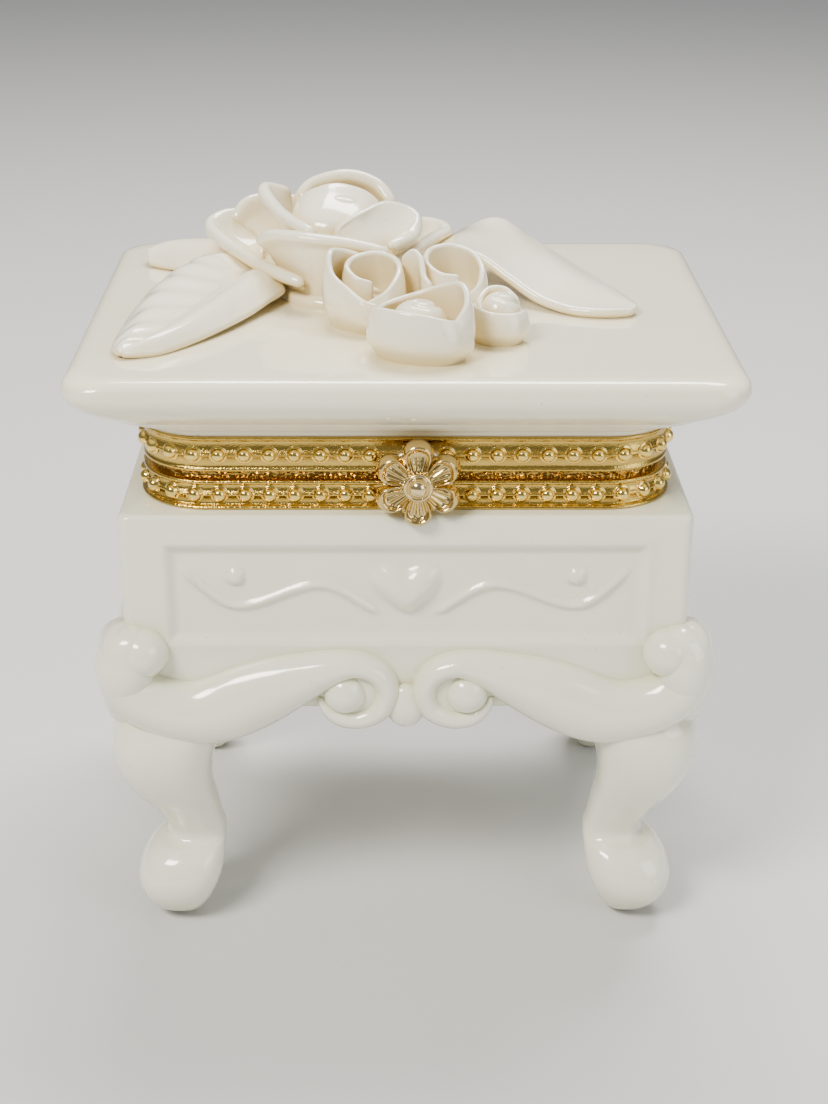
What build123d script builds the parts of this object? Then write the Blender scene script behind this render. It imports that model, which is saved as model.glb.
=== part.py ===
from build123d import *
import os
from math import cos, radians, sin

# A footed porcelain trinket box with a hinged lid, gilt rims and a flower clasp.
# Millimetres. Origin on the ground under the middle of the box, +Z up, the clasp
# faces -Y. The base stands on four cabriole legs; the lid turns on a hinge at the back.
os.makedirs("parts", exist_ok=True)

# --- Driving dimensions -------------------------------------------------------------
# Porcelain box
body_width = 93.5  # along X
body_depth = 73.0  # along Y
leg_height = 44.5  # ground to the box's underside
wall_height = 35.1  # underside to the shoulder
body_wall = 4.0
body_floor = 3.5
body_corner = 1.6  # upright edges
shoulder_round = 1.0
shoulder_ledge = 3.5  # flat left outside the gilt rims

# Raised and sunk work on the faces
panel_side_margin = 7.4  # face edge to the sunk panel, on the long faces
panel_end_margin = 9.5  # the same on the short faces
panel_top_margin = 5.1
panel_height = 17.5
panel_bevel = 1.6
panel_depth = 1.0
heart_width = 11.0
heart_height = 10.0
heart_relief = 1.9
wave_width = 1.5
wave_relief = 0.8
dot_radius = 1.15
scroll_relief = 4.6  # how far the scrolls stand off the face
scroll_step = 1.2  # the volute's ring above the arm
scroll_reach = 4.4  # how far the front and back scrolls run past the box's corners
side_scroll_inset = 0.8  # how far the side scrolls stop short of them
volute_radius = 7.2
volute_gap = 0.8  # face centre to the volute's edge
eye_radius = 3.4
curl_radius = 3.8
tab_radius = 4.6

# Gilt rims
rim_corner = 11.0
rim_wall = 0.9
rim_lip = 0.7
rim_flange = 0.8  # foot and crown flanges outside the band
lower_rim_height = 4.9
rim_gap = 1.5
upper_rim_height = 6.0
cement = 0.4
collar_inset = 1.2
collar_wall = 0.8
collar_clearance = 0.15
bead_radius = 1.2
bead_pitch = 4.1

# Neck and lid
neck_wall = 2.6
lid_side_overhang = 10.75
lid_front_overhang = 10.05
lid_edge = 4.5  # thickness of the lid's rounded edge
lid_cove = 7.8  # height of the mouldings under it
lid_corner = 6.0
lid_edge_round = 1.6
lid_roof = 4.0

# Hinge at the back
hinge_width = 24.0
knuckle_radius = 1.4
hinge_pin_radius = 0.65
pin_clearance = 0.05
knuckle_gap = 0.15
leaf_thickness = 0.55
barrel_stand = 1.95  # rim's back face to the pin's axis
beading_clearance = 0.6

# Flower clasp
clasp_x = 1.8
tongue_width = 5.0
tongue_thickness = 1.75
clasp_clearance = 0.15
flower_clearance = 0.2  # between the clasp's flower and the box's face
backplate_radius = 5.6
clasp_petal_reach = 7.5
clasp_petal_radius = 2.5
clasp_petal_count = 6
petal_rim = 0.4  # metal left round each petal's hollow
petal_cup_lift = 1.0
flower_thickness = 2.0
boss_radius = 2.0
boss_seat = 0.6  # the boss sinks this far into the flower
boss_step = 0.3  # its round ring stands this far out
boss_height = 1.7
stud_radius = 0.8
stud_height = 0.55

# Flowers on the lid
petal_thickness = 1.3
mound_radius = 12.0
mound_height = 3.0
piece_gap = 0.2  # between neighbouring petals
lip_setback = 0.6  # the rims' lips stop this far short of the cavity
soft_edge = 0.8  # round on the edges of cast and clay work
metal_edge = 0.5  # round on the clasp's backplate
seat_slack = 0.3  # left above or below a seated piece

# --- Places that follow from them ----------------------------------------------------
half_width = body_width / 2
half_depth = body_depth / 2
shoulder = leg_height + wall_height
rim_width = body_width - 2 * shoulder_ledge
rim_depth = body_depth - 2 * shoulder_ledge
rim_front = -rim_depth / 2
lower_rim_top = shoulder + lower_rim_height
upper_rim_bottom = lower_rim_top + rim_gap
upper_rim_top = upper_rim_bottom + upper_rim_height
neck_inset = rim_wall + cement
lid_width = rim_width + 2 * lid_side_overhang
lid_depth = rim_depth + 2 * lid_front_overhang
lid_edge_bottom = upper_rim_top + lid_cove
lid_top = lid_edge_bottom + lid_edge
hinge_y = rim_depth / 2 + barrel_stand
hinge_z = (lower_rim_top + upper_rim_bottom) / 2
clasp_z = hinge_z + 0.4


def save(piece, name):
    """Labels a finished piece and writes it as its own file."""
    piece.label = name
    export_step(piece, f"parts/{name}.step")


def rounded(z, inset):
    """Plan of the gilt rim at height z, drawn in by inset on every side."""
    with BuildSketch(Plane.XY.offset(z)) as plan:
        RectangleRounded(rim_width - 2 * inset, rim_depth - 2 * inset, rim_corner - inset)
    return plan.sketch


def band(z, outer_inset, inner_inset):
    """Plan of a ring that follows the gilt rim."""
    with BuildSketch(Plane.XY.offset(z)) as plan:
        add(rounded(z, outer_inset))
        add(rounded(z, inner_inset), mode=Mode.SUBTRACT)
    return plan.sketch


# --- Box body: walls, floor, neck, sunk panels and the tabs between the volutes -------
neck_top = lower_rim_top - rim_lip - seat_slack
cavity_inset = neck_inset + neck_wall
front_face = Plane(origin=(0, -half_depth, 0), x_dir=(1, 0, 0), z_dir=(0, -1, 0))
right_face = Plane(origin=(half_width, 0, 0), x_dir=(0, 1, 0), z_dir=(1, 0, 0))
back_face = Plane(origin=(0, half_depth, 0), x_dir=(-1, 0, 0), z_dir=(0, 1, 0))
left_face = Plane(origin=(-half_width, 0, 0), x_dir=(0, -1, 0), z_dir=(-1, 0, 0))
long_panel = body_width - 2 * panel_side_margin
short_panel = body_depth - 2 * panel_end_margin
panel_middle = shoulder - panel_top_margin - panel_height / 2

with BuildPart() as box_body:
    with BuildSketch(Plane.XY.offset(leg_height)):
        RectangleRounded(body_width, body_depth, body_corner)
    extrude(amount=wall_height)
    fillet(box_body.faces().sort_by(Axis.Z)[-1].edges(), radius=shoulder_round)
    extrude(rounded(shoulder - shoulder_round, neck_inset), amount=neck_top - shoulder + shoulder_round)
    extrude(
        rounded(leg_height + body_floor, cavity_inset),
        amount=neck_top - leg_height - body_floor,
        mode=Mode.SUBTRACT,
    )
    for face, length in (
        (front_face, long_panel),
        (back_face, long_panel),
        (right_face, short_panel),
        (left_face, short_panel),
    ):
        with BuildSketch(face):
            with Locations((0, panel_middle)):
                Rectangle(length, panel_height)
        with BuildSketch(face.offset(-panel_depth)):
            with Locations((0, panel_middle)):
                Rectangle(length - 2 * panel_bevel, panel_height - 2 * panel_bevel)
        loft(mode=Mode.SUBTRACT)
    for face in (front_face, back_face):
        with BuildSketch(face):
            with Locations((0, leg_height)):
                Circle(tab_radius)
            with Locations((0, leg_height + tab_radius)):
                Rectangle(2 * tab_radius, 2 * tab_radius, mode=Mode.SUBTRACT)
        extrude(amount=-body_wall)
save(box_body.part, "box_body")


# --- Scrolls: a swelling arm, a volute round an eye, and a curl at the corner ----------
def scroll_on(face, span, reach):
    """One scroll on the positive side of a face, from its volute out to its corner curl."""
    volute_x = volute_gap + volute_radius
    volute_z = leg_height + 3.7
    with BuildPart() as scroll:
        with BuildSketch(face):
            with BuildLine():
                upper = Spline(
                    (volute_x, volute_z + volute_radius - 0.4),
                    (volute_x + 8.0, leg_height + 9.0),
                    (span - 12.5, leg_height + 5.0),
                    (span - 6.6, leg_height + 8.4),
                )
                curl = ThreePointArc(
                    upper @ 1,
                    (span - 6.8, leg_height + 13.6),
                    (span - 1.0, leg_height + 15.2),
                )
                lower = Spline(
                    curl @ 1,
                    (span + reach, leg_height + 7.6),
                    (span - 3.0, leg_height - 2.8),
                    (span - 13.0, leg_height - 6.1),
                    (volute_x + 9.5, leg_height + 0.2),
                    (volute_x, volute_z - 2.0),
                )
                Line(lower @ 1, upper @ 0)
            make_face()
            with Locations((volute_x, volute_z)):
                Circle(volute_radius)
        extrude(amount=scroll_relief - scroll_step)
        with BuildSketch(face.offset(scroll_relief - scroll_step)):
            with Locations((volute_x, volute_z)):
                Circle(volute_radius - 0.7)
                Circle(eye_radius + 0.5, mode=Mode.SUBTRACT)
        extrude(amount=scroll_step)
        for x, z, radius in (
            (volute_x + 0.5, volute_z, eye_radius),
            (span - curl_radius - 1.0, leg_height + 11.2, curl_radius),
        ):
            ball = face.from_local_coords((x, z, scroll_relief - radius))
            with Locations(Plane(origin=ball, x_dir=face.x_dir, z_dir=face.z_dir)):
                Sphere(radius)
        split(bisect_by=face, keep=Keep.TOP)
    return scroll.part


with BuildPart() as scroll_front_right:
    add(scroll_on(front_face, half_width, scroll_reach))
with BuildPart() as scroll_back_right:
    mirror(scroll_front_right.part, about=Plane.XZ)
with BuildPart() as scroll_right_back:
    add(scroll_on(right_face, half_depth, -side_scroll_inset))
with BuildPart() as scroll_right_front:
    mirror(scroll_right_back.part, about=Plane.XZ)

right_scrolls = {
    "scroll_front_{}": scroll_front_right,
    "scroll_back_{}": scroll_back_right,
    "scroll_{}_back": scroll_right_back,
    "scroll_{}_front": scroll_right_front,
}
for pattern, scroll in right_scrolls.items():
    save(scroll.part, pattern.format("right"))
    with BuildPart() as left_scroll:
        mirror(scroll.part, about=Plane.YZ)
    save(left_scroll.part, pattern.format("left"))


# --- Legs: cabriole, bowed out along the box's diagonal, on a rolled toe ---------------
# Height, inset of the centre from the box's corner, half thickness. The knee is set out
# down from the box, the ankle and the toe up from the ground.
leg_stations = (
    (leg_height, 5.6, 9.6),
    (leg_height - 5.5, 5.0, 9.3),
    (leg_height - 11.5, 5.2, 8.4),
    (leg_height - 18.5, 6.5, 6.9),
    (21.3, 8.4, 5.5),
    (16.5, 9.5, 4.9),
    (11.0, 9.3, 5.2),
    (7.0, 8.6, 5.4),
)
toe_inset = 6.6
toe_height = 7.4
toe_radius = 7.0
pad_inset = toe_inset + 1.0
pad_radius = 4.2
foot_radius = 6.6

with BuildPart() as leg_front_right:
    for z, inset, half in leg_stations:
        with BuildSketch(Plane.XY.offset(z)):
            with Locations((half_width - inset, inset - half_depth)):
                Circle(half)
    loft()
    with Locations((half_width - toe_inset, toe_inset - half_depth, toe_height)):
        Sphere(toe_radius)
    with BuildSketch(Plane.XY):
        with Locations((half_width - pad_inset, pad_inset - half_depth)):
            Circle(pad_radius)
    with BuildSketch(Plane.XY.offset(toe_height)):
        with Locations((half_width - pad_inset, pad_inset - half_depth)):
            Circle(foot_radius)
    loft()
    add(scroll_front_right.part, mode=Mode.SUBTRACT)
    add(scroll_right_front.part, mode=Mode.SUBTRACT)
save(leg_front_right.part, "leg_front_right")
with BuildPart() as leg_front_left:
    mirror(leg_front_right.part, about=Plane.YZ)
save(leg_front_left.part, "leg_front_left")
with BuildPart() as leg_back_right:
    mirror(leg_front_right.part, about=Plane.XZ)
save(leg_back_right.part, "leg_back_right")
with BuildPart() as leg_back_left:
    mirror(leg_front_left.part, about=Plane.XZ)
save(leg_back_left.part, "leg_back_left")


# --- Raised work in the long panels: a heart, two waves and two dots -------------------
def panel_ground(face):
    """The sunk ground of a panel, with its origin in the panel's middle."""
    middle = face.from_local_coords((0, panel_middle, -panel_depth))
    return Plane(origin=middle, x_dir=face.x_dir, z_dir=face.z_dir)


for side, face in (("front", front_face), ("back", back_face)):
    ground = panel_ground(face)
    lobe = heart_width / 4
    with BuildPart() as heart:
        with BuildSketch(ground):
            with BuildLine():
                right_lobe = ThreePointArc(
                    (0, heart_height * 0.28),
                    (lobe, heart_height / 2),
                    (2 * lobe, heart_height * 0.2),
                )
                right_edge = Spline(
                    right_lobe @ 1, (0, -heart_height / 2), tangents=((0, -1), (-1, -1))
                )
                mirror(about=Plane.YZ)
            make_face()
        extrude(amount=heart_relief)
        fillet(heart.faces().sort_by(Axis(face.origin, face.z_dir))[-1].edges(), radius=soft_edge)
    save(heart.part, f"heart_{side}")

    with BuildPart() as waves:
        for hand in (-1, 1):
            with BuildSketch(ground):
                with BuildLine() as wave:
                    Spline(
                        (hand * 5.6, -3.6),
                        (hand * 14.2, 1.3),
                        (hand * 27.6, -2.4),
                        (hand * (long_panel / 2 - 3.2), 3.7),
                    )
                trace(line_width=wave_width)
            extrude(amount=wave_relief)
    save(waves.part, f"waves_{side}")

    with BuildPart() as dots:
        for hand in (-1, 1):
            with Locations(ground.from_local_coords((hand * 28.0, 2.8, 0))):
                Sphere(dot_radius)
        split(bisect_by=ground, keep=Keep.TOP)
    save(dots.part, f"dots_{side}")


# --- Gilt rims, their bedding and the rough strip between them -------------------------
with BuildPart() as lower_bezel:
    extrude(band(shoulder, 0, rim_wall), amount=lower_rim_height)
    extrude(band(shoulder, -rim_flange, rim_wall), amount=rim_lip)
    extrude(band(lower_rim_top - rim_lip, 0, cavity_inset - lip_setback), amount=rim_lip)
save(lower_bezel.part, "lower_bezel")

with BuildPart() as lower_cement:
    extrude(band(shoulder, rim_wall, neck_inset), amount=neck_top - shoulder)
    extrude(band(neck_top, rim_wall, cavity_inset), amount=lower_rim_top - rim_lip - neck_top)
save(lower_cement.part, "lower_cement")

with BuildPart() as bezel_collar:
    extrude(
        band(lower_rim_top, collar_inset, collar_inset + collar_wall),
        amount=rim_gap - collar_clearance,
    )
save(bezel_collar.part, "bezel_collar")

with BuildPart() as upper_bezel:
    extrude(band(upper_rim_bottom, 0, rim_wall), amount=upper_rim_height)
    extrude(band(upper_rim_bottom, 0, cavity_inset - lip_setback), amount=rim_lip)
    extrude(band(upper_rim_top - rim_lip, -rim_flange / 2, rim_wall), amount=rim_lip)
save(upper_bezel.part, "upper_bezel")

lid_neck_bottom = upper_rim_bottom + rim_lip + seat_slack
with BuildPart() as upper_cement:
    extrude(band(lid_neck_bottom, rim_wall, neck_inset), amount=upper_rim_top - lid_neck_bottom)
    extrude(
        band(upper_rim_bottom + rim_lip, rim_wall, cavity_inset),
        amount=lid_neck_bottom - upper_rim_bottom - rim_lip,
    )
save(upper_cement.part, "upper_cement")


# --- Beading: domed beads round each rim, left out at the clasp and the hinge ----------
def stands_clear(point):
    """True where a whole bead fits beside the clasp's tongue and the hinge's leaves."""
    if point.Y < 0:
        return abs(point.X - clasp_x) > tongue_width / 2 + beading_clearance + bead_radius
    return abs(point.X) > hinge_width / 2 + beading_clearance + bead_radius


def nearest_core_point(point):
    """The point inside the rim's corner centres that a place on the rim faces away from."""
    core_x = rim_width / 2 - rim_corner
    core_y = rim_depth / 2 - rim_corner
    x = max(-core_x, min(core_x, point.X))
    y = max(-core_y, min(core_y, point.Y))
    return Vector(x, y, point.Z)


for name, z in (
    ("lower_beading", shoulder + lower_rim_height / 2),
    ("upper_beading", upper_rim_bottom + upper_rim_height / 2 - 0.1),
):
    course = rounded(z, 0).face().outer_wire()
    bead_count = round(course.length / bead_pitch)
    seats = []
    for i in range(bead_count):
        place = course.position_at(i / bead_count)
        outward = place - nearest_core_point(place)
        if stands_clear(place):
            seats.append(Plane(origin=place, x_dir=(0, 0, 1), z_dir=outward))
    with BuildPart() as beading:
        with Locations(*seats):
            Sphere(bead_radius, arc_size1=0, align=(Align.CENTER, Align.CENTER, Align.MIN))
    save(beading.part, name)


# --- Hinge: two leaves with knuckles on one headed pin ---------------------------------
rim_back = rim_depth / 2
middle_knuckle = hinge_width / 3 - knuckle_gap
outer_knuckle = (hinge_width - middle_knuckle) / 2 - knuckle_gap
outer_knuckle_x = (hinge_width - outer_knuckle) / 2
pin_axis = Plane(origin=(0, hinge_y, hinge_z), x_dir=(0, 1, 0), z_dir=(1, 0, 0))
bore_radius = hinge_pin_radius + pin_clearance


def hinge_leaf(near, far, knuckles):
    """A leaf on the rims' back from height near, by the pin, to height far."""
    with BuildPart() as leaf:
        with BuildSketch(Plane.XY.offset(near)):
            with Locations((0, rim_back + leaf_thickness / 2)):
                Rectangle(hinge_width, leaf_thickness)
        extrude(amount=far - near)
        for x, length in knuckles:
            with BuildSketch(pin_axis.offset(x - length / 2)):
                Circle(knuckle_radius)
                with Locations(((rim_back - hinge_y) / 2, (near - hinge_z))):
                    Rectangle(hinge_y - rim_back, 2 * abs(near - hinge_z))
            extrude(amount=length)
        with BuildSketch(pin_axis.offset(-hinge_width / 2)):
            Circle(bore_radius)
        extrude(amount=hinge_width, mode=Mode.SUBTRACT)
    return leaf.part


lower_knuckles = ((-outer_knuckle_x, outer_knuckle), (outer_knuckle_x, outer_knuckle))
save(
    hinge_leaf(lower_rim_top, shoulder + rim_lip + seat_slack, lower_knuckles),
    "hinge_leaf_lower",
)
save(
    hinge_leaf(upper_rim_bottom, upper_rim_top - rim_lip - seat_slack, ((0, middle_knuckle),)),
    "hinge_leaf_upper",
)

pin_head = 0.45
pin_head_overhang = 0.4
with BuildPart() as hinge_pin:
    with BuildSketch(pin_axis.offset(-hinge_width / 2 - pin_clearance)):
        Circle(hinge_pin_radius)
    extrude(amount=hinge_width + 2 * pin_clearance)
    for start in (-hinge_width / 2 - pin_clearance - pin_head, hinge_width / 2 + pin_clearance):
        with BuildSketch(pin_axis.offset(start)):
            Circle(hinge_pin_radius + pin_head_overhang)
        extrude(amount=pin_head)
save(hinge_pin.part, "hinge_pin")


# --- Lid: rounded slab, mouldings under its edge, neck and hollow ----------------------
# Part of the overhang that each moulding is drawn in by, and its drop below the edge.
mouldings = (
    (0.14, 0.0),
    (0.30, 0.31),
    (0.50, 0.57),
    (0.53, 0.63),
    (0.72, 0.77),
    (0.75, 0.83),
    (0.92, 0.93),
    (0.95, 1.0),
)
with BuildPart() as lid_shell:
    with BuildSketch(Plane.XY.offset(lid_edge_bottom)):
        RectangleRounded(lid_width, lid_depth, lid_corner)
    extrude(amount=lid_edge)
    fillet(lid_shell.faces().sort_by(Axis.Z)[-1].edges(), radius=lid_edge_round)
    fillet(lid_shell.faces().sort_by(Axis.Z)[0].edges(), radius=lid_edge_round * 0.9)
    for inward, drop in mouldings:
        with BuildSketch(Plane.XY.offset(lid_edge_bottom - drop * lid_cove)):
            RectangleRounded(
                lid_width - 2 * inward * lid_side_overhang,
                lid_depth - 2 * inward * lid_front_overhang,
                lid_corner + (rim_corner - lid_corner) * inward,
            )
    loft(ruled=True)
    extrude(rounded(lid_neck_bottom, neck_inset), amount=upper_rim_top - lid_neck_bottom)
    extrude(
        rounded(lid_neck_bottom, cavity_inset),
        amount=lid_top - lid_roof - lid_neck_bottom,
        mode=Mode.SUBTRACT,
    )
save(lid_shell.part, "lid_shell")


# --- Clasp: spring tongue, backplate, six-petalled flower and boss ---------------------
tongue_top = upper_rim_top - rim_lip - 0.1
tongue_bottom = shoulder + rim_lip + 0.2
tongue_back = rim_front - clasp_clearance
backplate_thickness = shoulder_ledge + flower_clearance - clasp_clearance - tongue_thickness
stud_z = shoulder + lower_rim_height / 2
flexure_z = tongue_top - 0.6
flexure_radius = 0.5
clasp_face = Plane(origin=(clasp_x, tongue_back, clasp_z), x_dir=(1, 0, 0), z_dir=(0, -1, 0))

with BuildPart() as clasp_tongue:
    with BuildSketch(Plane.XY.offset(tongue_bottom)):
        with Locations((clasp_x, tongue_back - tongue_thickness / 2)):
            Rectangle(tongue_width, tongue_thickness)
    extrude(amount=tongue_top - tongue_bottom)
    pocket_top = stud_z + stud_radius + seat_slack
    with BuildSketch(Plane.XY.offset(tongue_bottom)):
        with Locations((clasp_x, tongue_back)):
            Rectangle(2 * stud_radius + 0.6, 2 * (stud_height - clasp_clearance + 0.1))
    extrude(amount=pocket_top - tongue_bottom, mode=Mode.SUBTRACT)
    flexure = (clasp_x, rim_front - flexure_radius - 0.05, flexure_z)
    with BuildSketch(Plane(origin=flexure, x_dir=(0, 1, 0), z_dir=(1, 0, 0)).offset(-tongue_width / 2)):
        Circle(flexure_radius)
    extrude(amount=tongue_width)
save(clasp_tongue.part, "clasp_tongue")

with BuildPart() as clasp_backplate:
    with BuildSketch(clasp_face.offset(tongue_thickness)):
        Circle(backplate_radius)
    extrude(amount=backplate_thickness)
    fillet(clasp_backplate.faces().sort_by(Axis.Y)[0].edges(), radius=metal_edge)
save(clasp_backplate.part, "clasp_backplate")

flower_back = clasp_face.offset(tongue_thickness + backplate_thickness)
flower_front = flower_back.offset(flower_thickness)
with BuildPart() as flower_blank:
    with BuildSketch(flower_back):
        Circle(clasp_petal_reach - clasp_petal_radius)
        with PolarLocations(clasp_petal_reach - clasp_petal_radius, clasp_petal_count, 90):
            Circle(clasp_petal_radius)
    extrude(amount=flower_thickness)
    with Locations(flower_front.offset(petal_cup_lift)):
        with PolarLocations(clasp_petal_reach - clasp_petal_radius - piece_gap, clasp_petal_count, 90):
            Sphere(clasp_petal_radius - petal_rim, mode=Mode.SUBTRACT)

with BuildPart() as clasp_boss:
    with BuildSketch(flower_front.offset(-boss_seat)):
        Circle(boss_radius)
    extrude(amount=boss_seat + boss_step)
    with Locations(flower_front.offset(boss_step)):
        Sphere(boss_height)
    split(bisect_by=flower_front.offset(-boss_seat), keep=Keep.TOP)
with BuildPart() as clasp_flower:
    add(flower_blank.part)
    add(clasp_boss.part, mode=Mode.SUBTRACT)
save(clasp_flower.part, "clasp_flower")
save(clasp_boss.part, "clasp_boss")

with BuildPart() as catch_stud:
    with BuildSketch(Plane(origin=(clasp_x, rim_front, stud_z), x_dir=(1, 0, 0), z_dir=(0, -1, 0))):
        Circle(stud_radius)
    extrude(amount=stud_height)
    fillet(catch_stud.faces().sort_by(Axis.Y)[0].edges(), radius=0.3)
save(catch_stud.part, "catch_stud")


# --- Rose: a mound, a closed heart and petals opening round it -------------------------
rose_x = -11.0
rose_y = 9.0


def spoke(x, y, angle):
    """Upright plane through a flower's axis: X runs outward at the angle, Y runs up."""
    turn = radians(angle)
    outward = (cos(turn), sin(turn), 0)
    return Plane(origin=(x, y, lid_top), x_dir=outward, z_dir=(sin(turn), -cos(turn), 0))


def petal(x, y, start, arc, foot, tip, lift=0.6):
    """A curved petal: a shell from foot to tip, each (radius, height), turned through arc."""
    side = spoke(x, y, start)
    (foot_r, foot_z), (tip_r, tip_z) = foot, tip
    mid_r = foot_r + (tip_r - foot_r) * 0.4
    mid_z = foot_z + (tip_z - foot_z) * lift
    with BuildPart() as shell:
        with BuildSketch(side):
            with BuildLine():
                inner = ThreePointArc((foot_r, foot_z), (mid_r, mid_z), (tip_r, tip_z))
                outer = ThreePointArc(
                    (foot_r + petal_thickness, foot_z),
                    (mid_r + 0.8 * petal_thickness, mid_z - 0.7 * petal_thickness),
                    (tip_r + 0.2, tip_z - petal_thickness),
                )
                Line(inner @ 0, outer @ 0)
                Line(inner @ 1, outer @ 1)
            make_face()
        revolve(axis=Axis((x, y, 0), (0, 0, 1)), revolution_arc=arc)
    return shell.part


def bud_heart(x, y, radius, bottom, height):
    """A closed bud: a rounded drop standing on the lid or on a mound."""
    with BuildPart() as drop:
        with BuildSketch(spoke(x, y, 0)):
            with BuildLine():
                skin = Spline(
                    (radius * 0.6, bottom),
                    (radius, bottom + height * 0.55),
                    (0, bottom + height),
                    tangents=((0.4, 1), (-1, 0)),
                )
                Polyline(skin @ 1, (0, bottom), skin @ 0)
            make_face()
        revolve(axis=Axis((x, y, 0), (0, 0, 1)))
    return drop.part


with BuildPart() as rose_base:
    with BuildSketch(Plane.XY.offset(lid_top)):
        with Locations((rose_x, rose_y)):
            Circle(mound_radius)
    extrude(amount=mound_height)
    fillet(rose_base.faces().sort_by(Axis.Z)[-1].edges(), radius=soft_edge)
save(rose_base.part, "rose_base")
save(bud_heart(rose_x, rose_y, 7.4, mound_height, 17.0), "rose_heart")

# Start angle, arc, foot and tip of each petal; angles run from the lid's right, to the back.
rose_petals = {
    "rose_petal_inner_left": (115, 120, (7.6, mound_height), (10.2, 15.0)),
    "rose_petal_inner_front": (240, 105, (7.6, mound_height), (10.4, 11.5)),
    "rose_petal_inner_back": (350, 120, (7.6, mound_height), (9.8, 13.5)),
    "rose_petal_left": (152, 62, (9.2, mound_height), (23.0, 9.0)),
    "rose_petal_front": (216, 70, (9.2, mound_height), (12.2, 8.2)),
    "rose_petal_right": (322, 68, (9.2, mound_height), (18.6, 8.4)),
    "rose_petal_back_right": (32, 56, (9.2, mound_height), (17.0, 9.6)),
    "rose_petal_back_left": (90, 60, (9.2, mound_height), (18.0, 11.4)),
}
for name, (start, arc, foot, tip) in rose_petals.items():
    save(petal(rose_x, rose_y, start, arc, foot, tip), name)


# --- Rosebuds: a heart and one petal wrapped round it ----------------------------------
# Place, outer radius, height, where the wrap opens, and how far it goes round.
buds = {
    "bud_left": (-8.0, -11.5, 7.0, 10.0, 60, 290),
    "bud_back": (7.4, -7.2, 6.8, 10.5, 150, 280),
    "bud_front": (3.4, -28.2, 7.1, 9.6, 100, 300),
    "bud_small": (15.4, -20.0, 4.4, 7.0, 70, 280),
}
for name, (x, y, radius, height, start, arc) in buds.items():
    heart_radius = radius - petal_thickness - piece_gap
    save(bud_heart(x, y, heart_radius - 0.6, 0, height - 0.6), f"{name}_heart")
    foot = (radius * 0.55 + 0.3, 0)
    tip = (radius - petal_thickness * 0.5, height)
    wrap = petal(x, y, start, arc, foot, tip, lift=0.3)
    with BuildPart() as wrapped:
        add(wrap)
        add(bud_heart(x, y, heart_radius - 0.6 + piece_gap, 0, height), mode=Mode.SUBTRACT)
    save(wrapped.part, f"{name}_petal")


# --- Leaves: arched blades that rest on the lid at their root and tip ------------------
# Root, tip, width and rise of each.
leaves = {
    "leaf_left_front": ((-22.5, -3.0), (-45.7, -30.4), 17.0, 3.4),
    "leaf_left_back": ((-25.0, 13.5), (-47.4, 26.0), 12.0, 3.0),
    "leaf_right": ((9.5, 12.5), (40.0, -1.2), 19.0, 7.0),
}
leaf_thickness_top = 1.4
for name, (root, tip, width, rise) in leaves.items():
    reach = Vector(*tip) - Vector(*root)
    length = reach.length
    along = Plane(origin=(*root, lid_top), x_dir=(reach.X, reach.Y, 0), z_dir=(0, 0, 1))
    profile = Plane(origin=along.origin, x_dir=along.x_dir, z_dir=-along.y_dir)
    with BuildPart() as leaf:
        with BuildSketch(profile.offset(-width)):
            with BuildLine():
                under = ThreePointArc((0, 0), (length * 0.4, rise), (length, 0))
                over = ThreePointArc(
                    (0, leaf_thickness_top),
                    (length * 0.4, rise + leaf_thickness_top),
                    (length, leaf_thickness_top),
                )
                Line(under @ 0, over @ 0)
                Line(under @ 1, over @ 1)
            make_face()
        extrude(amount=2 * width)
        with BuildSketch(along):
            with BuildLine():
                near = ThreePointArc((0, 0), (length * 0.45, -width / 2), (length, 0))
                far = ThreePointArc(near @ 1, (length * 0.45, width / 2), near @ 0)
            make_face()
        extrude(amount=rise + 2 * leaf_thickness_top, mode=Mode.INTERSECT)
    save(leaf.part, name)
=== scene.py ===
import math

import bpy
from mathutils import Matrix, Vector


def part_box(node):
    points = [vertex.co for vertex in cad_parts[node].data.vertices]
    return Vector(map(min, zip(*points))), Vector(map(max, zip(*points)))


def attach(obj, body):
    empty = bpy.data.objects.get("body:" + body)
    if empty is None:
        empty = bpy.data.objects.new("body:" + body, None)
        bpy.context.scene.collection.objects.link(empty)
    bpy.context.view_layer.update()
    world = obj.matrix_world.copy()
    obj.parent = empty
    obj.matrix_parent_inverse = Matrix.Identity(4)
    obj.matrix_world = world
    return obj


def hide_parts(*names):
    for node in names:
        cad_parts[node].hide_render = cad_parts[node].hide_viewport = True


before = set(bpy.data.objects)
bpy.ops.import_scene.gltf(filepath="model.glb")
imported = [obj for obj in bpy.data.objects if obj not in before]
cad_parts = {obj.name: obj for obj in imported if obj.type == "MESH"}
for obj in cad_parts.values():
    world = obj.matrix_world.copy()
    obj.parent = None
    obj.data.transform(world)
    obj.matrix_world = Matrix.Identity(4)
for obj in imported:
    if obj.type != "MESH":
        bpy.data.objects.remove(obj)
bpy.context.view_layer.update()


# --- Box body -------------------------------------------------------------------------
# The box is slip-cast ivory porcelain: four thick walls, a flat floor, a flat shoulder and
# an upstanding neck for the gilt rim. Its long faces carry a sunk panel with a puffed heart,
# two raised waves and two dots, all cast in one with the wall and softened by the glaze.
mm = 0.001
body_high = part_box("box_body")[1]
half_width = body_high.x / mm
half_depth = body_high.y / mm
box_bottom = 44.5
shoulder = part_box("lower_bezel")[0].z / mm
neck_top = body_high.z / mm


def smooth_step(low, high, value):
    """0 below low, 1 above high and a soft ramp between."""
    t = min(max((value - low) / (high - low), 0.0), 1.0)
    return t * t * (3 - 2 * t)


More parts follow.
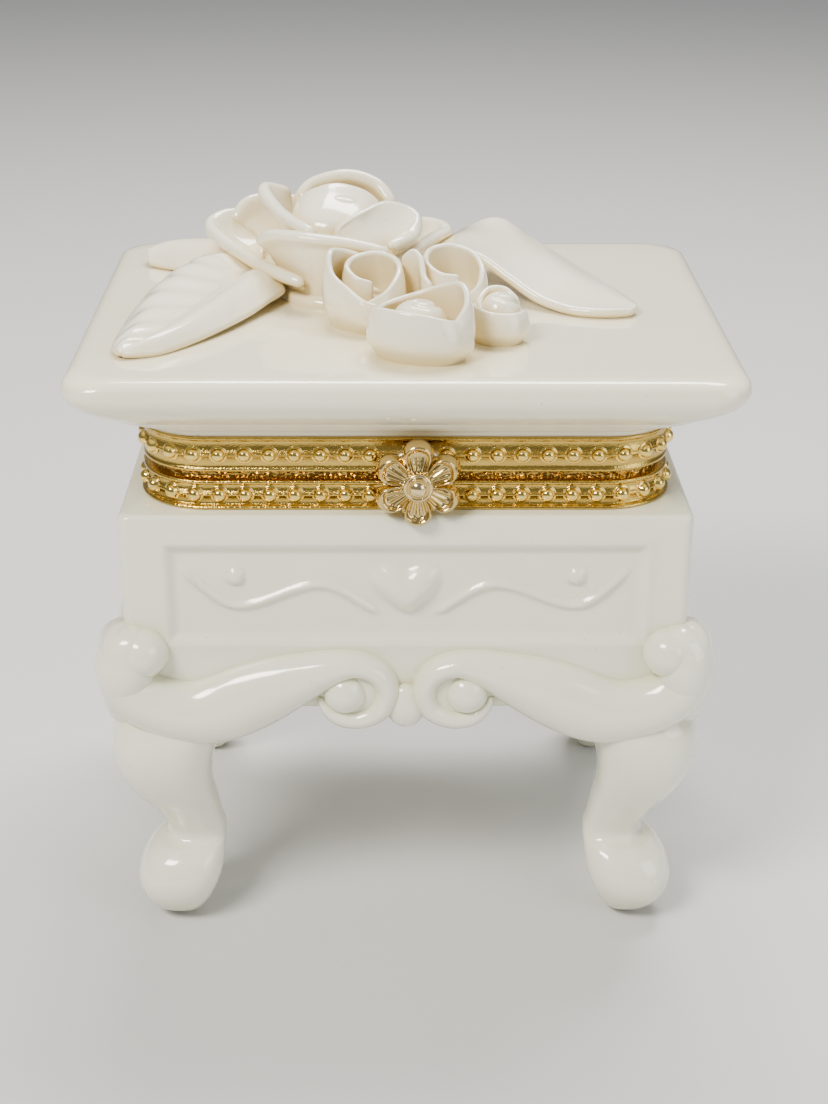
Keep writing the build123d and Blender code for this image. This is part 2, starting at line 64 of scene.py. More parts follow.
def oblong(half_x, half_y, corner, cells_x, cells_y, cells_corner):
    """Points and outward directions round a rounded rectangle, from the front's left end."""
    ring = []
    core_x, core_y = half_x - corner, half_y - corner
    sides = (
        (-core_x, -half_y, core_x, -half_y, -90, cells_x, core_x, -core_y),
        (half_x, -core_y, half_x, core_y, 0, cells_y, core_x, core_y),
        (core_x, half_y, -core_x, half_y, 90, cells_x, -core_x, core_y),
        (-half_x, core_y, -half_x, -core_y, 180, cells_y, -core_x, -core_y),
    )
    for x0, y0, x1, y1, facing, cells, corner_x, corner_y in sides:
        turn = math.radians(facing)
        for i in range(cells):
            t = i / cells
            ring.append((x0 + (x1 - x0) * t, y0 + (y1 - y0) * t, math.cos(turn), math.sin(turn)))
        for i in range(cells_corner):
            a = turn + math.radians(90) * i / cells_corner
            ring.append(
                (corner_x + corner * math.cos(a), corner_y + corner * math.sin(a), math.cos(a), math.sin(a))
            )
    return ring


def bent_grid(name, columns, rows, place, closed=True):
    """A grid primitive, each vertex moved to place(column, row) in mm; closed joins its sides."""
    bpy.ops.object.select_all(action="DESELECT")
    bpy.ops.mesh.primitive_grid_add(x_subdivisions=columns, y_subdivisions=rows, size=2)
    piece = bpy.context.object
    piece.name = name
    piece.data.name = name
    flat = [v.co.copy() for v in piece.data.vertices]
    wide = len({round(co.x, 5) for co in flat}) - 1
    tall = len({round(co.y, 5) for co in flat}) - 1
    for vertex, co in zip(piece.data.vertices, flat):
        column = round((co.x + 1) / 2 * wide) / wide
        row = round((co.y + 1) / 2 * tall) / tall
        vertex.co = Vector(place(column, row)) * mm
    bpy.ops.object.mode_set(mode="EDIT")
    bpy.ops.mesh.select_all(action="SELECT")
    if closed:
        bpy.ops.mesh.remove_doubles(threshold=2e-6)
    bpy.ops.object.mode_set(mode="OBJECT")
    bpy.ops.object.shade_smooth()
    return piece


def close_ends(piece):
    """Fills the open rings left at a piece's ends and turns every face outwards."""
    bpy.ops.object.select_all(action="DESELECT")
    bpy.context.view_layer.objects.active = piece
    piece.select_set(True)
    bpy.ops.object.mode_set(mode="EDIT")
    bpy.ops.mesh.select_all(action="SELECT")
    bpy.ops.mesh.fill_holes(sides=0)
    bpy.ops.mesh.select_all(action="SELECT")
    bpy.ops.mesh.normals_make_consistent(inside=False)
    bpy.ops.object.mode_set(mode="OBJECT")


def ring_wall(name, levels, count, ring_at):
    """A wall of rings: levels are (values...), ring_at(level) gives that ring's points."""
    rings = [ring_at(level) for level in levels]

    def place(column, row):
        ring = rings[round(row * (len(rings) - 1))]
        return ring[round(column * count) % count]

    return bent_grid(name, count, len(rings) - 1, place)


def heart_height(s, z):
    """Puffed heart, 11 mm wide and 10 mm high, in the middle of the panel."""
    x = abs(s) / 5.7
    y = (z + 1.1) / 4.9
    inside = 1 - x * x - (1.25 * y - math.sqrt(x * x + 0.02) ** 0.5) ** 2
    return 2.1 * smooth_step(-0.3, 1.05, inside)


def wave_height(s, z):
    """A raised wave from beside the heart out to the panel's upper corner."""
    knots = ((4.9, -3.5, 0.5), (14.4, 1.5, 0.0), (27.7, -2.3, 0.0), (36.4, 4.0, 1.1))
    s = abs(s)
    if not knots[0][0] - 1 < s < knots[-1][0] + 1:
        return 0.0
    for (a, za, ma), (b, zb, mb) in zip(knots, knots[1:]):
        if s <= b or b == knots[-1][0]:
            break
    t = min(max((s - a) / (b - a), 0.0), 1.0)
    line = (
        (2 * t**3 - 3 * t**2 + 1) * za
        + (t**3 - 2 * t**2 + t) * (b - a) * ma
        + (3 * t**2 - 2 * t**3) * zb
        + (t**3 - t**2) * (b - a) * mb
    )
    ends = smooth_step(knots[0][0] - 1, knots[0][0] + 1.5, s)
    ends *= 1 - smooth_step(knots[-1][0] - 1.5, knots[-1][0] + 0.8, s)
    return 0.9 * ends * math.exp(-(((z - line) / 0.62) ** 2))


def relief(face, s, z):
    """Height in mm of the cast work at distance s from a face's middle and height z."""
    long_face = face in ("front", "back")
    half_length = 39.3 if long_face else 27.0
    middle = 65.7
    edge = min(half_length - abs(s), 8.75 - abs(z - middle))
    height = 0.28 * math.exp(-(((edge + 0.5) / 0.6) ** 2)) - 1.0 * smooth_step(0.0, 1.7, edge)
    if long_face:
        dot = 1 - ((abs(s) - 28.0) ** 2 + (z - middle - 2.9) ** 2) / 1.5**2
        height += max(
            heart_height(s, z - middle + 0.1),
            wave_height(s, z - middle),
            1.0 * math.sqrt(dot) if dot > 0 else 0.0,
        )
    return height


cells = (170, 84, 8)
count = 2 * (cells[0] + cells[1]) + 4 * cells[2]


def body_ring(level):
    """One ring of the body: drawn in from the outside, at a height, with a corner radius."""
    inset, z, corner, raised = level
    ring = []
    for x, y, nx, ny in oblong(half_width - inset, half_depth - inset, corner, *cells):
        out = 0.0
        if raised and abs(nx * ny) < 1e-6:
            face = {(0, -1): "front", (0, 1): "back", (1, 0): "right", (-1, 0): "left"}
            key = (round(nx), round(ny))
            out = relief(face[key], x if key[0] == 0 else y, z)
        ring.append((x + nx * out, y + ny * out, z))
    return ring


body_levels = [
    (12.0, box_bottom, 4.0, False),
    (1.6, box_bottom, 1.6, False),
    (0.5, box_bottom + 0.2, 1.6, False),
]
body_levels += [(0.0, z, 1.7, True) for z in (45.4, 47.0, 49.0, 51.0, 53.0, 55.0)]
body_levels += [(0.0, 56.2 + 0.36 * i, 1.7, True) for i in range(53)]
body_levels += [(0.0, z, 1.7, True) for z in (76.0, 77.0, 78.0)]
body_levels += [
    (1.0 - math.cos(math.radians(a)), shoulder - 1.0 + math.sin(math.radians(a)), 1.7, False)
    for a in (15, 30, 45, 60, 75, 90)
]
body_levels += [
    (4.3, shoulder, 8.0, False),
    (4.8, shoulder + 0.2, 9.7, False),
    (4.8, neck_top - 0.3, 9.7, False),
    (5.2, neck_top, 9.4, False),
    (7.0, neck_top, 7.6, False),
    (7.4, neck_top - 0.4, 7.2, False),
    (7.4, 62.0, 7.2, False),
    (7.4, 50.5, 7.2, False),
    (7.9, 48.9, 6.8, False),
    (9.4, 48.0, 6.0, False),
    (16.0, 48.0, 4.0, False),
]
box_body = ring_wall("porcelain_box", body_levels, count, body_ring)
close_ends(box_body)


def socket(group, name, kind, side, value=None):
    """Adds a named input or output to a shader group."""
    item = group.interface.new_socket(name=name, in_out=side, socket_type=kind)
    if value is not None:
        item.default_value = value
    return item


def glaze_group():
    """Glaze over porcelain: drifts in thickness, a few pinholes, and darker and warmer in hollows, partly
    glaze pooled there and partly painted shade from ambient occlusion.
    """
    group = bpy.data.node_groups.new("glaze_drift_and_shade", "ShaderNodeTree")
    socket(group, "Thin", "NodeSocketColor", "INPUT", (0.9, 0.86, 0.76, 1))
    socket(group, "Thick_Glaze_And_Shade", "NodeSocketColor", "INPUT", (0.8, 0.74, 0.6, 1))
    socket(group, "Drift", "NodeSocketFloat", "INPUT", 60.0)
    socket(group, "Color", "NodeSocketColor", "OUTPUT")
    socket(group, "Roughness", "NodeSocketFloat", "OUTPUT")
    socket(group, "Height", "NodeSocketFloat", "OUTPUT")
    nodes, links = group.nodes, group.links
    given = nodes.new("NodeGroupInput")
    result = nodes.new("NodeGroupOutput")
    spot = nodes.new("ShaderNodeTexCoord")
    cloud = nodes.new("ShaderNodeTexNoise")
    cloud.inputs["Detail"].default_value = 3.0
    links.new(spot.outputs["Object"], cloud.inputs["Vector"])
    links.new(given.outputs["Drift"], cloud.inputs["Scale"])
    # Painted shade: ambient occlusion pulls the colour towards the thick-glaze tint in hollows and creases,
    # on top of the glaze pooled there.
    occlusion_shade = nodes.new("ShaderNodeAmbientOcclusion")
    occlusion_shade.samples = 4
    occlusion_shade.inputs["Distance"].default_value = 0.009
    hollow = nodes.new("ShaderNodeMapRange")
    hollow.inputs["From Min"].default_value = 0.92
    hollow.inputs["From Max"].default_value = 0.28
    links.new(occlusion_shade.outputs["AO"], hollow.inputs["Value"])
    patch = nodes.new("ShaderNodeMapRange")
    patch.inputs["From Min"].default_value = 0.35
    patch.inputs["From Max"].default_value = 0.75
    patch.inputs["To Max"].default_value = 0.18
    links.new(cloud.outputs["Fac"], patch.inputs["Value"])
    glaze_depth_and_shade = nodes.new("ShaderNodeMath")
    glaze_depth_and_shade.operation = "ADD"
    glaze_depth_and_shade.use_clamp = True
    links.new(hollow.outputs["Result"], glaze_depth_and_shade.inputs[0])
    links.new(patch.outputs["Result"], glaze_depth_and_shade.inputs[1])
    tint = nodes.new("ShaderNodeMix")
    tint.data_type = "RGBA"
    links.new(glaze_depth_and_shade.outputs["Value"], tint.inputs["Factor"])
    links.new(given.outputs["Thin"], tint.inputs[6])
    links.new(given.outputs["Thick_Glaze_And_Shade"], tint.inputs[7])
    pits = nodes.new("ShaderNodeTexNoise")
    pits.inputs["Scale"].default_value = 1500.0
    pits.inputs["Detail"].default_value = 0.0
    links.new(spot.outputs["Object"], pits.inputs["Vector"])
    pinhole = nodes.new("ShaderNodeMapRange")
    pinhole.inputs["From Min"].default_value = 0.83
    pinhole.inputs["From Max"].default_value = 0.90
    pinhole.inputs["To Max"].default_value = 0.35
    links.new(pits.outputs["Fac"], pinhole.inputs["Value"])
    speck = nodes.new("ShaderNodeMix")
    speck.data_type = "RGBA"
    speck.inputs[7].default_value = (0.33, 0.27, 0.18, 1)
    links.new(pinhole.outputs["Result"], speck.inputs["Factor"])
    links.new(tint.outputs[2], speck.inputs[6])
    links.new(speck.outputs[2], result.inputs["Color"])
    gloss = nodes.new("ShaderNodeMapRange")
    gloss.inputs["To Min"].default_value = 0.10
    gloss.inputs["To Max"].default_value = 0.20
    links.new(cloud.outputs["Fac"], gloss.inputs["Value"])
    links.new(gloss.outputs["Result"], result.inputs["Roughness"])
    skin = nodes.new("ShaderNodeTexNoise")
    skin.inputs["Scale"].default_value = 260.0
    skin.inputs["Detail"].default_value = 1.0
    links.new(spot.outputs["Object"], skin.inputs["Vector"])
    dip = nodes.new("ShaderNodeMath")
    dip.operation = "SUBTRACT"
    links.new(skin.outputs["Fac"], dip.inputs[0])
    links.new(pinhole.outputs["Result"], dip.inputs[1])
    links.new(dip.outputs["Value"], result.inputs["Height"])
    return group


glaze_drift_and_shade = glaze_group()


def glaze(name, thin, thick, drift=60.0):
    """Glazed ivory porcelain in its own tint; thick is the tint of pooled glaze and also of the painted shade
    in hollows.
    """
    material = bpy.data.materials.new(name)
    material.use_nodes = True
    nodes, links = material.node_tree.nodes, material.node_tree.links
    shader = nodes["Principled BSDF"]
    shader.inputs["Coat Weight"].default_value = 0.7
    shader.inputs["Coat Roughness"].default_value = 0.03
    shader.inputs["IOR"].default_value = 1.5
    layer = nodes.new("ShaderNodeGroup")
    layer.node_tree = glaze_drift_and_shade
    layer.inputs["Thin"].default_value = (*thin, 1)
    layer.inputs["Thick_Glaze_And_Shade"].default_value = (*thick, 1)
    layer.inputs["Drift"].default_value = drift
    bump = nodes.new("ShaderNodeBump")
    bump.inputs["Strength"].default_value = 0.06
    bump.inputs["Distance"].default_value = 0.0004
    links.new(layer.outputs["Color"], shader.inputs["Base Color"])
    links.new(layer.outputs["Roughness"], shader.inputs["Roughness"])
    links.new(layer.outputs["Height"], bump.inputs["Height"])
    links.new(bump.outputs["Normal"], shader.inputs["Normal"])
    return material


def settle(piece, material, body, slot, *nodes):
    """Gives a finished piece its material and body, and hides the CAD nodes that it stands for; slot is not
    used.
    """
    piece.data.materials.clear()
    piece.data.materials.append(material)
    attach(piece, body)
    if nodes:
        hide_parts(*nodes)


body_glaze = glaze("body_glaze", (0.86, 0.85, 0.70), (0.70, 0.68, 0.47))
relief_nodes = [f"{work}_{side}" for work in ("heart", "waves", "dots") for side in ("front", "back")]
settle(box_body, body_glaze, "base", "body_glaze", "box_body", *relief_nodes)


# --- Apron tabs ------------------------------------------------------------------------
# Between the two volutes of each long face a little shell-shaped tab hangs below the box.
# It is cast with the wall and shows as a pale round lip under the volutes.
def tab_at(side):
    """A flattened drop that hangs from the middle of a long face."""
    def place(column, row):
        turn = 2 * math.pi * column
        rise = math.pi * row
        x = 3.4 * math.sin(rise) * math.cos(turn)
        y = side * (half_depth + 0.6) + 2.0 * math.sin(rise) * math.sin(turn)
        return x, y, box_bottom + 1.0 - 4.0 * math.cos(rise)

    tab = bent_grid("apron_tab_" + ("back" if side > 0 else "front"), 32, 16, place)
    close_ends(tab)
    settle(tab, body_glaze, "base", "body_glaze")


tab_at(-1)
tab_at(1)


# --- Scrolls ---------------------------------------------------------------------------
# Each face carries two S-scrolls, pressed from moulds and luted on with slip: a volute
# curls round an eye at the middle, its arm swells over the leg and ends in a curl that
# rolls up the box's corner. All eight are the same sprig, shorter on the end faces.
def through(points, t):
    """A smooth curve through a list of tuples, t from 0 to 1."""
    last = len(points) - 1
    spot = min(max(t, 0.0), 1.0) * last
    i = min(int(spot), last - 1)
    t = spot - i
    p0, p1, p2, p3 = (points[min(max(k, 0), last)] for k in (i - 1, i, i + 1, i + 2))
    return tuple(
        0.5 * (2 * b + (c - a) * t + (2 * a - 5 * b + 4 * c - d) * t**2 + (3 * b - a - 3 * c + d) * t**3)
        for a, b, c, d in zip(p0, p1, p2, p3)
    )


def scroll_path(span):
    """Centre across the face, height, half width and half thickness along one scroll."""
    def along(share):
        return 14.6 + (span - 14.6) * share

    return (
        (span - 3.4, 56.6, 2.9, 3.8),
        (span - 1.6, 56.6, 3.7, 4.3),
        (span + 0.2, 55.2, 4.1, 4.5),
        (span + 0.7, 52.4, 4.3, 4.6),
        (span - 0.3, 49.4, 4.6, 4.7),
        (span - 2.6, 46.9, 5.0, 4.8),
        (along(0.80), 45.0, 5.4, 4.8),
        (along(0.66), 44.1, 5.8, 4.8),
        (along(0.52), 44.7, 6.2, 4.7),
        (along(0.37), 46.7, 6.2, 4.6),
        (along(0.21), 49.0, 5.5, 4.4),
        (along(0.06), 51.0, 4.3, 4.1),
        (12.2, 52.6, 3.2, 3.9),
        (8.4, 53.2, 2.4, 3.7),
        (4.7, 51.7, 2.2, 3.6),
        (3.1, 48.3, 2.2, 3.5),
        (4.4, 44.8, 2.1, 3.3),
        (7.9, 43.1, 2.0, 3.1),
        (11.4, 43.6, 1.8, 2.8),
        (13.6, 45.6, 1.2, 2.2),
        (14.2, 47.2, 0.6, 1.4),
    )


def face_frame(face):
    """Middle of a face on the ground, its rightward direction and its outward direction."""
    return {
        "front": (Vector((0, -half_depth, 0)), Vector((1, 0, 0)), Vector((0, -1, 0))),
        "back": (Vector((0, half_depth, 0)), Vector((1, 0, 0)), Vector((0, 1, 0))),
        "right": (Vector((half_width, 0, 0)), Vector((0, 1, 0)), Vector((1, 0, 0))),
        "left": (Vector((-half_width, 0, 0)), Vector((0, 1, 0)), Vector((-1, 0, 0))),
    }[face]


def scroll_piece(name, face, hand, span):
    """One scroll: a tube that swells and curls, with a round eye in its volute."""
    origin, right, out = face_frame(face)
    path = scroll_path(span)
    step = 0.004

    def on_face(across, height, stand):
        spot = origin + right * across * hand + out * stand
        return (spot.x, spot.y, height)

    def place(column, row):
        x, z, half, thick = through(path, row)
        xa, za = through(path, max(row - step, 0))[:2]
        xb, zb = through(path, min(row + step, 1))[:2]
        run = math.hypot(xb - xa, zb - za)
        turn = 2 * math.pi * column
        shrink = math.sqrt(max(0.0, 1 - max(0.0, 1 - row / 0.02) ** 2))
        side = half * math.cos(turn) * shrink
        stand = thick * math.sin(turn) * shrink - 0.2
        return on_face(x - side * (zb - za) / run, z + side * (xb - xa) / run, stand)

    arm = bent_grid(name, 40, 150, place)

    def drop(part, across, height, radius, stand, rise_by):
        """A low dome of clay in the scroll: the volute's eye or bed, or the end curl."""
        def place_drop(column, row):
            turn, rise = 2 * math.pi * column, math.pi * row
            ring = radius * math.sin(rise)
            aside, above = ring * math.cos(turn), ring * math.sin(turn)
            return on_face(across + aside, height + above, stand + rise_by * math.cos(rise))

        return bent_grid(f"{name}_{part}", 36, 18, place_drop)

    domes = [
        drop("eye", 10.2, 48.0, 3.7, 0.6, 3.3),
        drop("bed", 8.6, 48.2, 6.3, 0.0, 1.9),
        drop("curl", span - 3.1, 55.4, 4.4, 0.3, 4.5),
    ]
    bpy.ops.object.select_all(action="DESELECT")
    for piece in (arm, *domes):
        piece.select_set(True)
    bpy.context.view_layer.objects.active = arm
    bpy.ops.object.join()
    close_ends(arm)
    settle(arm, body_glaze, "base", "body_glaze", name)


for face, spans in (("front", half_width), ("back", half_width), ("right", half_depth), ("left", half_depth)):
    for hand in (-1, 1):
        ends = ("left", "right") if face in ("front", "back") else ("front", "back")
        scroll_piece(f"scroll_{face}_{ends[(hand + 1) // 2]}", face, hand, spans)


# --- Legs ------------------------------------------------------------------------------
# Four cabriole legs, cast solid and luted under the corners. The knee bows out along the
# box's diagonal, the ankle draws in, and the foot rolls outwards onto a small flat pad.
leg_profile = (
    (43.8, 48.6, 29.0),
    (39.5, 50.2, 31.2),
    (33.5, 50.1, 33.1),
    (27.5, 47.9, 33.5),
    (22.0, 44.3, 32.9),
    (18.2, 42.4, 32.4),
    (16.2, 41.9, 32.0),
    (15.1, 42.6, 31.9),
    (14.3, 44.4, 31.9),
    (12.6, 46.1, 32.0),
    (10.2, 47.2, 32.3),
    (7.6, 47.4, 33.0),
    (5.0, 46.6, 34.1),
    (2.9, 45.1, 35.3),
    (1.3, 43.2, 36.5),
    (0.4, 41.6, 37.6),
    (0.05, 40.4, 38.6),
)


def leg_piece(name, side_x, side_y):
    """One leg, its sections soft squares; profile rows are height, outer and inner reach."""
    def place(column, row):
        z, outer, inner = through(leg_profile, row)
        half = (outer - inner) / 2
        inset = half_width - (outer + inner) / 2
        turn = 2 * math.pi * column
        soft = (abs(math.cos(turn)) ** 2.5 + abs(math.sin(turn)) ** 2.5) ** (-1 / 2.5)
        x = half_width - inset + half * soft * math.cos(turn)
        y = half_depth - inset + half * soft * math.sin(turn)
        return side_x * x, side_y * y, z

    leg = bent_grid(name, 48, 90, place)
    close_ends(leg)
    settle(leg, body_glaze, "base", "body_glaze", name)


for back, side_y in (("front", -1), ("back", 1)):
    for hand, side_x in (("left", -1), ("right", 1)):
        leg_piece(f"leg_{back}_{hand}", side_x, side_y)


# --- Lid -------------------------------------------------------------------------------
# The lid is one slip-cast slab with a bull-nosed edge. Under the edge it coves in, with
# fine thrown lines, to a short neck that sits in the upper gilt rim, and it is hollow.
lid_low, lid_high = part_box("lid_shell")
lid_half_width = lid_high.x / mm
lid_half_depth = lid_high.y / mm
lid_top = lid_high.z / mm
lid_bottom = lid_low.z / mm
lid_profile = [
    (20.0, lid_top), (8.0, lid_top), (3.4, lid_top), (2.2, lid_top - 0.08), (1.3, lid_top - 0.35),
    (0.65, lid_top - 0.85), (0.22, lid_top - 1.5), (0.03, lid_top - 2.2), (0.0, lid_top - 2.8),
    (0.15, lid_top - 3.6), (0.6, lid_top - 4.6), (1.3, lid_top - 5.6), (2.3, lid_top - 6.6),
    (3.5, lid_top - 7.5), (4.7, lid_top - 8.25), (5.3, lid_top - 8.6), (5.45, lid_top - 8.95),
    (6.5, lid_top - 9.35), (6.65, lid_top - 9.7), (7.7, lid_top - 10.1), (7.85, lid_top - 10.45),
    (9.0, lid_top - 10.9), (9.7, lid_top - 11.3), (9.95, lid_top - 11.8), (10.05, lid_top - 12.25),
    (11.7, lid_top - 12.3), (12.0, lid_top - 12.5), (12.0, lid_bottom + 0.3), (12.4, lid_bottom),
    (14.3, lid_bottom), (14.6, lid_bottom + 0.4), (14.6, lid_top - 6.0), (15.2, lid_top - 4.6),
    (16.6, lid_top - 4.0), (26.0, lid_top - 4.0),
]
lid_cells = (48, 40, 14)
lid_count = 2 * (lid_cells[0] + lid_cells[1]) + 4 * lid_cells[2]


def lid_ring(level):
    """One ring of the lid, drawn in from its widest line, with a corner that opens inwards."""
    inset, z = level
    corner = 6.0 + 5.5 * min(inset / 10.0, 1.0) - 0.5 * max(0.0, inset - 10.0)
    ring = oblong(lid_half_width - inset, lid_half_depth - inset, max(corner, 2.0), *lid_cells)
    return [(x, y, z) for x, y, _, _ in ring]


lid_shell = ring_wall("porcelain_lid", lid_profile, lid_count, lid_ring)
close_ends(lid_shell)
lid_glaze = glaze("lid_glaze", (0.93, 0.875, 0.69), (0.80, 0.71, 0.46), 35.0)
settle(lid_shell, lid_glaze, "lid", "lid_glaze", "lid_shell")


# --- Gilt rims -------------------------------------------------------------------------
# Each rim is a rolled strip of gilt brass, bent to a rounded oblong, soldered and bedded on
# its neck with plaster. Its face is grained between two bright lips and carries a raised wire.
def gilt(name, color, hollow, rough, grain_scale, grain):
    """Gilt brass: darker in its hollows, worn bright on its edges, with a cast grain."""
    material = bpy.data.materials.new(name)
    material.use_nodes = True
    nodes, links = material.node_tree.nodes, material.node_tree.links
    shader = nodes["Principled BSDF"]
    shader.inputs["Metallic"].default_value = 1.0
    layer = nodes.new("ShaderNodeGroup")
    layer.node_tree = gilt_wear
    layer.inputs["Metal"].default_value = (*color, 1)
    layer.inputs["Hollow"].default_value = (*hollow, 1)
    layer.inputs["Polish"].default_value = rough
    layer.inputs["Grain Scale"].default_value = grain_scale
    bump = nodes.new("ShaderNodeBump")
    bump.inputs["Strength"].default_value = grain
    bump.inputs["Distance"].default_value = 0.0003
    links.new(layer.outputs["Color"], shader.inputs["Base Color"])
    links.new(layer.outputs["Roughness"], shader.inputs["Roughness"])
    links.new(layer.outputs["Height"], bump.inputs["Height"])
    links.new(bump.outputs["Normal"], shader.inputs["Normal"])
    return material


def gilt_group():
    """Colour, polish and grain of gilt metal from how sharp or sunk the surface is."""
    group = bpy.data.node_groups.new("gilt_wear", "ShaderNodeTree")
    socket(group, "Metal", "NodeSocketColor", "INPUT", (0.8, 0.6, 0.25, 1))
    socket(group, "Hollow", "NodeSocketColor", "INPUT", (0.35, 0.2, 0.05, 1))
    socket(group, "Polish", "NodeSocketFloat", "INPUT", 0.18)
    socket(group, "Grain Scale", "NodeSocketFloat", "INPUT", 2200.0)
    socket(group, "Color", "NodeSocketColor", "OUTPUT")
    socket(group, "Roughness", "NodeSocketFloat", "OUTPUT")
    socket(group, "Height", "NodeSocketFloat", "OUTPUT")
    nodes, links = group.nodes, group.links
    given = nodes.new("NodeGroupInput")
    result = nodes.new("NodeGroupOutput")
    spot = nodes.new("ShaderNodeTexCoord")
    surface = nodes.new("ShaderNodeNewGeometry")
    sunk = nodes.new("ShaderNodeMapRange")
    sunk.inputs["From Min"].default_value = 0.46
    sunk.inputs["From Max"].default_value = 0.34
    links.new(surface.outputs["Pointiness"], sunk.inputs["Value"])
    tarnish = nodes.new("ShaderNodeTexNoise")
    tarnish.inputs["Scale"].default_value = 160.0
    tarnish.inputs["Detail"].default_value = 2.0
    links.new(spot.outputs["Object"], tarnish.inputs["Vector"])
    stain = nodes.new("ShaderNodeMapRange")
    stain.inputs["From Min"].default_value = 0.45
    stain.inputs["From Max"].default_value = 0.8
    stain.inputs["To Max"].default_value = 0.35
    links.new(tarnish.outputs["Fac"], stain.inputs["Value"])
    dark = nodes.new("ShaderNodeMath")
    dark.operation = "ADD"
    dark.use_clamp = True
    links.new(sunk.outputs["Result"], dark.inputs[0])
    links.new(stain.outputs["Result"], dark.inputs[1])
    tint = nodes.new("ShaderNodeMix")
    tint.data_type = "RGBA"
    links.new(dark.outputs["Value"], tint.inputs["Factor"])
    links.new(given.outputs["Metal"], tint.inputs[6])
    links.new(given.outputs["Hollow"], tint.inputs[7])
    links.new(tint.outputs[2], result.inputs["Color"])
    dull = nodes.new("ShaderNodeMath")
    dull.operation = "MULTIPLY_ADD"
    dull.inputs[1].default_value = 0.22
    links.new(dark.outputs["Value"], dull.inputs[0])
    links.new(given.outputs["Polish"], dull.inputs[2])
    links.new(dull.outputs["Value"], result.inputs["Roughness"])
    grit = nodes.new("ShaderNodeTexVoronoi")
    links.new(spot.outputs["Object"], grit.inputs["Vector"])
    links.new(given.outputs["Grain Scale"], grit.inputs["Scale"])
    links.new(grit.outputs["Distance"], result.inputs["Height"])
    return group


gilt_wear = gilt_group()
rim_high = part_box("upper_bezel")[1]
rim_half_width = half_width - 3.5
rim_half_depth = half_depth - 3.5
rim_corner = 11.0
rim_cells = (70, 52, 26)
rim_count = 2 * (rim_cells[0] + rim_cells[1]) + 4 * rim_cells[2]


def rim_ring(level):
    """One ring of a rim, standing out from its plain face."""
    out, z = level
    ring = oblong(rim_half_width + out, rim_half_depth + out, rim_corner + out, *rim_cells)
    return [(x, y, z) for x, y, _, _ in ring]


def wire_levels(z, radius):
    """The half-round wire along a rim's face."""
    return [
        (radius * math.cos(math.radians(a)), z + radius * math.sin(math.radians(a)))
        for a in (-90, -60, -30, 0, 30, 60, 90)
    ]


lower_rim_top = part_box("lower_bezel")[1].z / mm
upper_rim_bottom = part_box("upper_bezel")[0].z / mm
upper_rim_top = rim_high.z / mm
lower_bead_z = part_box("lower_beading")[0].z / mm + 1.2
upper_bead_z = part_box("upper_beading")[0].z / mm + 1.2
lower_levels = [
    (-0.9, shoulder + 0.01), (0.55, shoulder + 0.01), (0.75, shoulder + 0.15), (0.8, shoulder + 0.35),
    (0.72, shoulder + 0.55), (0.45, shoulder + 0.68), (0.12, shoulder + 0.74), (0.0, shoulder + 0.9),
]
lower_levels += wire_levels(lower_bead_z, 0.34)
lower_levels += [
    (0.0, lower_rim_top - 1.0), (0.0, lower_rim_top - 0.72), (0.2, lower_rim_top - 0.62),
    (0.3, lower_rim_top - 0.4), (0.24, lower_rim_top - 0.14), (0.05, lower_rim_top),
    (-3.2, lower_rim_top), (-3.3, lower_rim_top - 0.2), (-3.3, lower_rim_top - 0.7),
    (-0.9, lower_rim_top - 0.7),
]
upper_levels = [
    (-0.9, upper_rim_bottom + 0.7), (-3.3, upper_rim_bottom + 0.7), (-3.3, upper_rim_bottom + 0.1),
    (-3.2, upper_rim_bottom), (0.0, upper_rim_bottom), (0.18, upper_rim_bottom + 0.12),
    (0.26, upper_rim_bottom + 0.35), (0.2, upper_rim_bottom + 0.6), (0.0, upper_rim_bottom + 0.75),
    (0.0, upper_rim_bottom + 1.2),
]
upper_levels += wire_levels(upper_bead_z, 0.34)
upper_levels += [
    (0.0, upper_rim_top - 1.0), (0.0, upper_rim_top - 0.72), (0.25, upper_rim_top - 0.6),
    (0.38, upper_rim_top - 0.35), (0.3, upper_rim_top - 0.1), (0.0, upper_rim_top - 0.01),
    (-0.9, upper_rim_top - 0.01),
]
rim_gilt = gilt("rim_gilt", (0.60, 0.405, 0.09), (0.24, 0.14, 0.02), 0.14, 4200.0, 0.16)
for name, levels, body, node in (
    ("lower_rim", lower_levels, "base", "lower_bezel"),
    ("upper_rim", upper_levels, "lid", "upper_bezel"),
):
    levels = levels + [levels[0]]
    rim = ring_wall(name, levels, rim_count, rim_ring)
    close_ends(rim)
    settle(rim, rim_gilt, body, "gilt_rim", node)


# --- Beading ---------------------------------------------------------------------------
# Round beads, pressed in the strip before it was bent and gilt brighter than the band.
# They run all round each rim and leave off only at the clasp and the hinge.
bead_gilt = gilt("bead_gilt", (0.88, 0.64, 0.17), (0.34, 0.2, 0.04), 0.08, 900.0, 0.03)
clasp_low, clasp_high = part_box("clasp_tongue")
clasp_x = (clasp_low.x + clasp_high.x) / 2 / mm
hinge_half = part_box("hinge_leaf_lower")[1].x / mm


